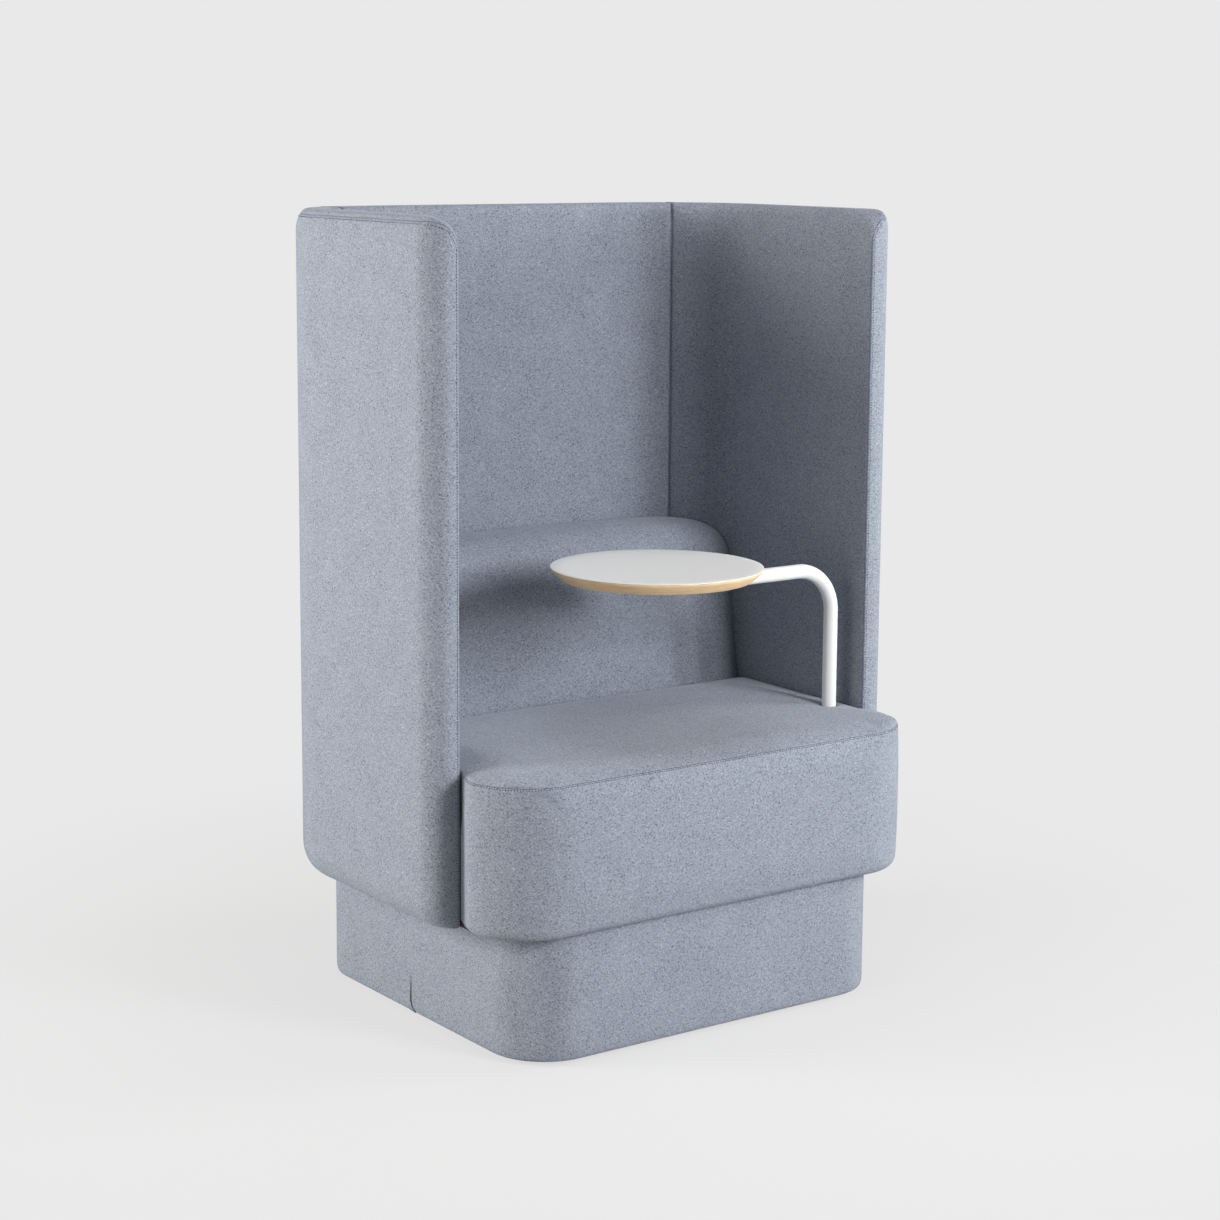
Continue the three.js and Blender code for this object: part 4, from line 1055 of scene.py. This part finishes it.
def lumbar_sizes(x):
    """The foot, the shoulder and both heights of the side view at a place along the cushion."""
    from_end = BACKREST_HALF - abs(x)
    drop = LUMBAR_SAG * (x / BACKREST_HALF) ** 2 + round_inset(from_end, *END_ROUND_DOWN)
    inset = round_inset(from_end, *END_ROUND_IN)
    shoulder = SHOULDER_Y + inset + SLACK
    return back_low.y + inset, shoulder, SHOULDER_Z - drop, back_high.z - drop - SLACK


def lumbar_outline(x):
    """The side view as runs of corner points, drawn in at the ends of the cushion."""
    foot, shoulder, shoulder_z, top_z = lumbar_sizes(x)
    front = [(foot, back_low.z), (foot + 0.0005, back_low.z + 0.02)]
    roll = [(TOP_Y + (shoulder - TOP_Y) * math.cos(math.radians(a)),
             shoulder_z + (top_z - shoulder_z) * math.sin(math.radians(a))) for a in range(0, 91, 5)]
    rear_y = back_high.y - FIT
    round_back = [(rear_y - ROLL_BACK + ROLL_BACK * math.sin(math.radians(a)),
                   top_z - ROLL_BACK + ROLL_BACK * math.cos(math.radians(a)))
                  for a in range(15, 91, 15)]
    board_y, board_z = board_low.y - FIT, board_high.z + FIT
    bracket_y, bracket_z = bracket_low.y - FIT, bracket_high.z + FIT
    step = [(rear_y, board_z), (board_y, board_z), (board_y, bracket_z), (bracket_y, bracket_z),
            (bracket_y, back_low.z)]
    return front + roll + round_back + step


def resample(points, spacing, counts=None):
    """Points at even spacing along each leg, keeping the corners."""
    result, used = [], []
    for i, (one, other) in enumerate(zip(points, points[1:] + points[:1])):
        length = math.dist(one, other)
        count = counts[i] if counts else max(1, round(length / spacing))
        used.append(count)
        result += [(one[0] + (other[0] - one[0]) * k / count,
                    one[1] + (other[1] - one[1]) * k / count) for k in range(count)]
    return result, used


middle_points, leg_counts = resample(lumbar_outline(0), EVEN_ROW)
END_PLACES = (0.0, 0.0008, 0.003, 0.0065, 0.0115, 0.018, 0.026, 0.034, 0.042)
inner_end = BACKREST_HALF - END_PLACES[-1]
inner_count = round(2 * inner_end / EVEN_ROW)
stations = [-BACKREST_HALF + p for p in END_PLACES]
stations += [-inner_end + 2 * inner_end * i / inner_count for i in range(1, inner_count)]
stations += [BACKREST_HALF - p for p in reversed(END_PLACES)]
print("lumbar cushion:", len(middle_points), "points round,", len(stations), "stations")

# %% Extrude the lumbar cushion from end to end
corner_places = []
for degree in range(91):
    reach = INNER_RADIUS - padding(math.radians(degree - BACK_SEAM_ANGLE))
    corner_places.append((INNER_TURN.x + reach * math.sin(math.radians(degree)),
                          INNER_TURN.y + reach * math.cos(math.radians(degree))))


def wall_limit(x):
    """How far back the cushion may reach before it meets the wall's round corner."""
    beyond = [y for place_x, y in corner_places if place_x > abs(x) + CLEAR_OF_WALL]
    return (beyond[0] if beyond else INNER_TURN.y) - CLEAR_OF_WALL


def lay_ring(verts, layer, x):
    points, _ = resample(lumbar_outline(x), EVEN_ROW, leg_counts)
    _, shoulder, shoulder_z, top_z = lumbar_sizes(x)
    limit = wall_limit(x)
    ahead = min(max((TOP_Y - limit) / (TOP_Y - shoulder), 0), 1)
    roll_z = shoulder_z + (top_z - shoulder_z) * math.sqrt(1 - ahead ** 2)
    for vert in verts:
        y, z = points[vert[layer]]
        vert.co = (x, y, z) if y < limit else (x, limit, min(z, roll_z))


lumbar = bmesh.new()
place_layer = lumbar.verts.layers.int.new("place")
ring = bmesh.ops.create_circle(lumbar, segments=len(middle_points), radius=1)["verts"]
for number, vert in enumerate(ring):
    vert[place_layer] = number
lay_ring(ring, place_layer, stations[0])
first_edges = edges = list(lumbar.edges)
for x in stations[1:]:
    edges = next_ring(lumbar, edges)
    lay_ring(ends_of(edges), place_layer, x)
for end in (first_edges, edges):
    bmesh.ops.triangle_fill(lumbar, edges=end, use_beauty=True)
bmesh.ops.recalc_face_normals(lumbar, faces=lumbar.faces)
lumbar_cushion = felt_piece(lumbar, "felt_lumbar_cushion", ["backrest_cushion"])


def lumbar_hold(place):
    """1 at both ends, along the board, bracket and wall, and where the seat covers the foot."""
    return float(
        BACKREST_HALF - abs(place.x) < 0.002
        or place.y > board_low.y - 0.002
        or (place.y > bracket_low.y - 0.002 and place.z < bracket_high.z + 0.002)
        or place.z < SEAT_SEAM_Z + 0.01
        or place.y > wall_limit(place.x) - 2 * CLEAR_OF_WALL)


pad_out(lumbar_cushion, lumbar_hold, cap=0.003)

# %% [markdown]
# ## The plinth cover
#
# The plinth is a frame wrapped in the same felt, tucked in round its lower edge. A single square
# face gets its four corners rounded by a vertex bevel, and the outline of that face is extruded
# up the outside and down the inside, which leaves a band with a hollow middle.

# %% Wrap the plinth
base_low, base_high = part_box("base_cover")
BASE_CORNER = 0.104
BASE_THICKNESS = 0.016
BASE_TUCK_WIDTH, BASE_TUCK_HEIGHT = 0.004, 0.014
BASE_ROW, BASE_STEP = 0.011, 0.014
BASE_TOP_ROUND = 0.004


def base_levels():
    """Rings of the band as (inset, height), up the outside and down the inside."""
    tuck = [(round_inset(d, BASE_TUCK_HEIGHT, BASE_TUCK_WIDTH), base_low.z + d)
            for d in (0, 0.0005, 0.0015, 0.003, 0.0055, 0.009, BASE_TUCK_HEIGHT)]
    low, high = tuck[-1][1], base_high.z - BASE_TOP_ROUND
    count = round((high - low) / BASE_ROW)
    outside = [(0, low + (high - low) * i / count) for i in range(1, count + 1)]
    top = [(0.0006, base_high.z - 0.0015), (0.0025, base_high.z)]
    inside = [(BASE_THICKNESS, base_high.z), (BASE_THICKNESS, base_low.z + 0.0005)]
    return tuck + outside + top + inside


base = bmesh.new()
bmesh.ops.create_grid(base, x_segments=1, y_segments=1, size=1)
middle = (base_low + base_high) / 2
half_x, half_y = (base_high.x - base_low.x) / 2, (base_high.y - base_low.y) / 2
for vert in base.verts:
    vert.co = (middle.x + vert.co.x * half_x, middle.y + vert.co.y * half_y, 0)
bmesh.ops.bevel(base, geom=base.verts[:], offset=BASE_CORNER, segments=16, profile=0.5,
                affect="VERTICES", material=-1)
bmesh.ops.delete(base, geom=base.faces[:], context="FACES_ONLY")
cut_evenly(base, BASE_STEP)


def drawn_in(place, inset, height):
    """A point of the outline moved in by the inset, square to the outline."""
    x, y = place.x - middle.x, place.y - middle.y
    core_x, core_y = half_x - BASE_CORNER, half_y - BASE_CORNER
    over_x, over_y = max(abs(x) - core_x, 0), max(abs(y) - core_y, 0)
    scale = (math.hypot(over_x, over_y) - inset) / math.hypot(over_x, over_y)
    x = math.copysign(min(abs(x), core_x) + over_x * scale, x)
    y = math.copysign(min(abs(y), core_y) + over_y * scale, y)
    return Vector((middle.x + x, middle.y + y, height))


flat_layer = base.verts.layers.float_vector.new("flat")
for vert in base.verts:
    vert[flat_layer] = vert.co
levels = base_levels()
for vert in base.verts:
    vert.co = drawn_in(vert[flat_layer], *levels[0])
first_edges = edges = list(base.edges)
for level in levels[1:]:
    edges = next_ring(base, edges)
    for vert in ends_of(edges):
        vert.co = drawn_in(vert[flat_layer], *level)
bmesh.ops.bridge_loops(base, edges=first_edges + edges)
bmesh.ops.recalc_face_normals(base, faces=base.faces)
felt_piece(base, "felt_plinth_cover", ["base_cover"], sharp_angle=60)

# %% [markdown]
# The plinth's felt is one long strip, and on the left side its end is lapped over its beginning.
# Low down the lap's edge stands off and curves forward, which shows as a dark slit, and higher up
# it is sewn flat. A fine grid is laid on the side, its front edge bent, and given a thickness.

# %% Lap the end of the plinth's felt
LAP_Y = 0.019
LAP_LENGTH = 0.040
LAP_CURVE = 0.014
LAP_OPEN, LAP_CLOSED = base_low.z + 0.022, base_low.z + 0.085
LAP_RISE = 0.0022
LAP_SINK = 0.0008
LAP_THICKNESS = 0.0011
lap = bmesh.new()
bmesh.ops.create_grid(lap, x_segments=10, y_segments=24, size=0.5)
for vert in lap.verts:
    back, height = vert.co.x + 0.5, vert.co.y + 0.5
    z = base_low.z + 0.0008 + height * (base_high.z - base_low.z - 0.006)
    low = min((z - base_low.z) / (LAP_OPEN - base_low.z), 1)
    y = LAP_Y - LAP_CURVE * (1 - low) ** 2 + LAP_LENGTH * back
    open_share = (1 - smooth_step((z - LAP_OPEN) / (LAP_CLOSED - LAP_OPEN))) * (1 - smooth_step(back))
    tucked = round_inset(z - base_low.z, BASE_TUCK_HEIGHT, BASE_TUCK_WIDTH)
    vert.co = (base_low.x + tucked + LAP_SINK - (LAP_RISE + LAP_SINK) * open_share, y, z)
bmesh.ops.recalc_face_normals(lap, faces=lap.faces)
if sum(f.normal.x for f in lap.faces) > 0:
    bmesh.ops.reverse_faces(lap, faces=lap.faces)
thicken(felt_piece(lap, "felt_plinth_lap"), LAP_THICKNESS)

# %% [markdown]
# ## The arm and the table
#
# The arm is one steel tube, bent once: a ring swept up the post, round the bend and level in under
# the table, where it stops a little short of the middle. The board is turned on a lathe in effect,
# so its half section is spun all the way round, and so is the thin laminate glued on top of it.

# %% Bend the tube
BEND_RADIUS = 0.076
ARM_HEIGHT = 0.727
tube_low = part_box("arm_tube")[0]
TUBE_WALL = 0.002
TUBE_SIDES = 40
POST_STEPS, BEND_STEPS, LEVEL_STEPS = 8, 28, 6


tube = bmesh.new()
bmesh.ops.create_circle(tube, segments=TUBE_SIDES, radius=TUBE_RADIUS,
                        matrix=Matrix.Translation((POST_X, POST_Y, tube_low.z)))
rise = Vector((0, 0, ARM_HEIGHT - BEND_RADIUS - tube_low.z)) / POST_STEPS
ring = sweep(tube, list(tube.edges), POST_STEPS, shift=rise)
bend_centre = (POST_X - BEND_RADIUS, POST_Y, ARM_HEIGHT - BEND_RADIUS)
ring = sweep(tube, ring, BEND_STEPS, angle=90, centre=bend_centre, axis=(0, -1, 0))
reach = Vector((tube_low.x - POST_X + BEND_RADIUS, 0, 0)) / LEVEL_STEPS
sweep(tube, ring, LEVEL_STEPS, shift=reach)
bmesh.ops.recalc_face_normals(tube, faces=tube.faces)
thicken(finish(tube, "coated_arm_tube", powder_coat, "table_arm", ["arm_tube"]),
        TUBE_WALL)

# %% Turn the board and the laminate
TABLE_SIDES = 144


def turned(name, section, centre, material, slot, replaced):
    """Spins a half section, given as (radius, height) pairs, into a round piece."""
    bm = bmesh.new()
    points = [bm.verts.new((centre.x + r, centre.y, z)) for r, z in section]
    edges = [bm.edges.new(pair) for pair in zip(points, points[1:])]
    bmesh.ops.spin(bm, geom=points + edges, cent=(centre.x, centre.y, 0), axis=(0, 0, 1),
                   angle=math.radians(360), steps=TABLE_SIDES, use_merge=True)
    bmesh.ops.remove_doubles(bm, verts=bm.verts, dist=0.00002)
    bmesh.ops.recalc_face_normals(bm, faces=bm.faces)
    return finish(bm, name, material, "table_arm", [replaced], sharp_angle=40)


wood_low, wood_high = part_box("table_board")
top_low, top_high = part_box("table_laminate")
TABLE_CENTRE = (wood_low + wood_high) / 2
TABLE_RADIUS = (wood_high.x - wood_low.x) / 2
UNDER_RADIUS = 0.161
LIP = 0.003
turned("beech_table_board", [
    (0, wood_low.z), (UNDER_RADIUS - 0.02, wood_low.z), (UNDER_RADIUS - 0.0012, wood_low.z),
    (UNDER_RADIUS - 0.0004, wood_low.z + 0.0003), (UNDER_RADIUS + 0.0003, wood_low.z + 0.001),
    (TABLE_RADIUS - 0.0004, wood_high.z - LIP - 0.0006), (TABLE_RADIUS, wood_high.z - LIP + 0.0002),
    (TABLE_RADIUS, wood_high.z - 0.0003), (TABLE_RADIUS - 0.0003, wood_high.z),
    (0, wood_high.z)], TABLE_CENTRE, beech, "bare_wood", "table_board")
turned("laminate_table_top", [
    (0, top_low.z), (TABLE_RADIUS - 0.0003, top_low.z), (TABLE_RADIUS, top_low.z + 0.0002),
    (TABLE_RADIUS, top_high.z - 0.0004), (TABLE_RADIUS - 0.0002, top_high.z - 0.0001),
    (TABLE_RADIUS - 0.0006, top_high.z), (TABLE_RADIUS - 0.02, top_high.z),
    (0, top_high.z)], TABLE_CENTRE, laminate, "laminate", "table_laminate")

# %% [markdown]
# ## The floor and the light
#
# The chair stands on a plain pale floor that runs into a background of the same colour. Big soft
# boxes light it from the left rear, which makes the wall's outer side the brightest part, and from
# the front, which reaches the back of the bay but leaves its right side dark. The front boxes are
# the smallest, so the table throws a clear shadow on the lumbar cushion.

# %% Lay the floor and hang the lights
BACKGROUND = "e9e9e9"
FLOOR_GLOW = 0.79
FADE_FROM, FADE_TO = 0.7, 1.7
FLOOR_HALF = 12
WORLD_FILL = 0.005


def seen_directly(tree):
    """1 for the rays that show the background itself, also by way of metal and glass."""
    rays = add(tree, "ShaderNodeLightPath")
    seen = rays.outputs["Is Camera Ray"]
    for kind in ("Is Glossy Ray", "Is Transmission Ray"):
        both = add(tree, "ShaderNodeMath", {0: seen, 1: rays.outputs[kind]},
                   operation="ADD", use_clamp=True)
        seen = both.outputs[0]
    return seen


def pale_floor():
    made, tree = new_material("pale_studio_floor")
    matt = add(tree, "ShaderNodeBsdfDiffuse", None, {"Color": linear("a4a4a4")})
    shade = add(tree, "ShaderNodeBsdfDiffuse", None, {"Color": linear("6a6a6a")})
    glow = add(tree, "ShaderNodeEmission", None,
               {"Color": linear(BACKGROUND), "Strength": FLOOR_GLOW})
    lit = add(tree, "ShaderNodeAddShader", {0: shade.outputs[0], 1: glow.outputs[0]})
    far = add(tree, "ShaderNodeEmission", None, {"Color": linear(BACKGROUND), "Strength": 1.0})
    place = add(tree, "ShaderNodeTexCoord").outputs["Object"]
    reach = add(tree, "ShaderNodeVectorMath", {0: place}, operation="LENGTH")
    fade = add(tree, "ShaderNodeMapRange", {"Value": reach.outputs["Value"]},
               {"From Min": FADE_FROM, "From Max": FADE_TO}, interpolation_type="SMOOTHSTEP")
    view = add(tree, "ShaderNodeMixShader",
               {0: fade.outputs["Result"], 1: lit.outputs[0], 2: far.outputs[0]})
    whole = add(tree, "ShaderNodeMixShader",
                {0: seen_directly(tree), 1: matt.outputs[0], 2: view.outputs[0]})
    add(tree, "ShaderNodeOutputMaterial", {"Surface": whole.outputs[0]})
    return made


ground = bmesh.new()
bmesh.ops.create_grid(ground, x_segments=1, y_segments=1, size=FLOOR_HALF)
floor_mesh = bpy.data.meshes.new("floor")
ground.to_mesh(floor_mesh)
ground.free()
floor_mesh.materials.append(pale_floor())
floor = bpy.data.objects.new("floor", floor_mesh)
bpy.context.scene.collection.objects.link(floor)

world = bpy.data.worlds.new("studio")
bpy.context.scene.world = world
world.use_nodes = True
world.node_tree.nodes.clear()
sky = world.node_tree
fill = add(sky, "ShaderNodeBackground", None, {"Color": linear("ffffff"), "Strength": WORLD_FILL})
backdrop = add(sky, "ShaderNodeBackground", None, {"Color": linear(BACKGROUND), "Strength": 1.0})
both = add(sky, "ShaderNodeMixShader",
           {0: seen_directly(sky), 1: fill.outputs[0], 2: backdrop.outputs[0]})
add(sky, "ShaderNodeOutputWorld", {"Surface": both.outputs[0]})


CHAIR_MIDDLE = Vector((0, 0, 0.7))
# Each box as (name, place, width, height, watts, tint)
SOFT_BOXES = (
    ("left_box", (-3.62, 1.69, 1.5), 1.8, 2.2, 188, "fffdf8"),
    ("left_front_box", (-3.86, -1.04, 1.5), 1.8, 2.2, 46, "fffdf8"),
    ("front_box", (1.10, -3.84, 2.0), 1.0, 1.2, 134, "fcfdff"),
    ("low_front_box", (1.69, -3.62, 1.2), 1.0, 1.0, 36, "fcfdff"),
    ("right_box", (3.62, -1.69, 1.6), 1.4, 1.6, 111, "fffefb"),
    ("top_box", (0, 0, 4.0), 1.6, 1.6, 33, "ffffff"),
)
for name, place, width, height, watts, tint in SOFT_BOXES:
    lamp = bpy.data.lights.new(name, "AREA")
    lamp.shape = "RECTANGLE"
    lamp.size, lamp.size_y = width, height
    lamp.energy = watts
    lamp.color = linear(tint)[:3]
    box = bpy.data.objects.new(name, lamp)
    box.location = place
    box.rotation_euler = (CHAIR_MIDDLE - Vector(place)).to_track_quat("-Z", "Y").to_euler()
    bpy.context.scene.collection.objects.link(box)
bpy.context.scene.view_settings.view_transform = "Standard"
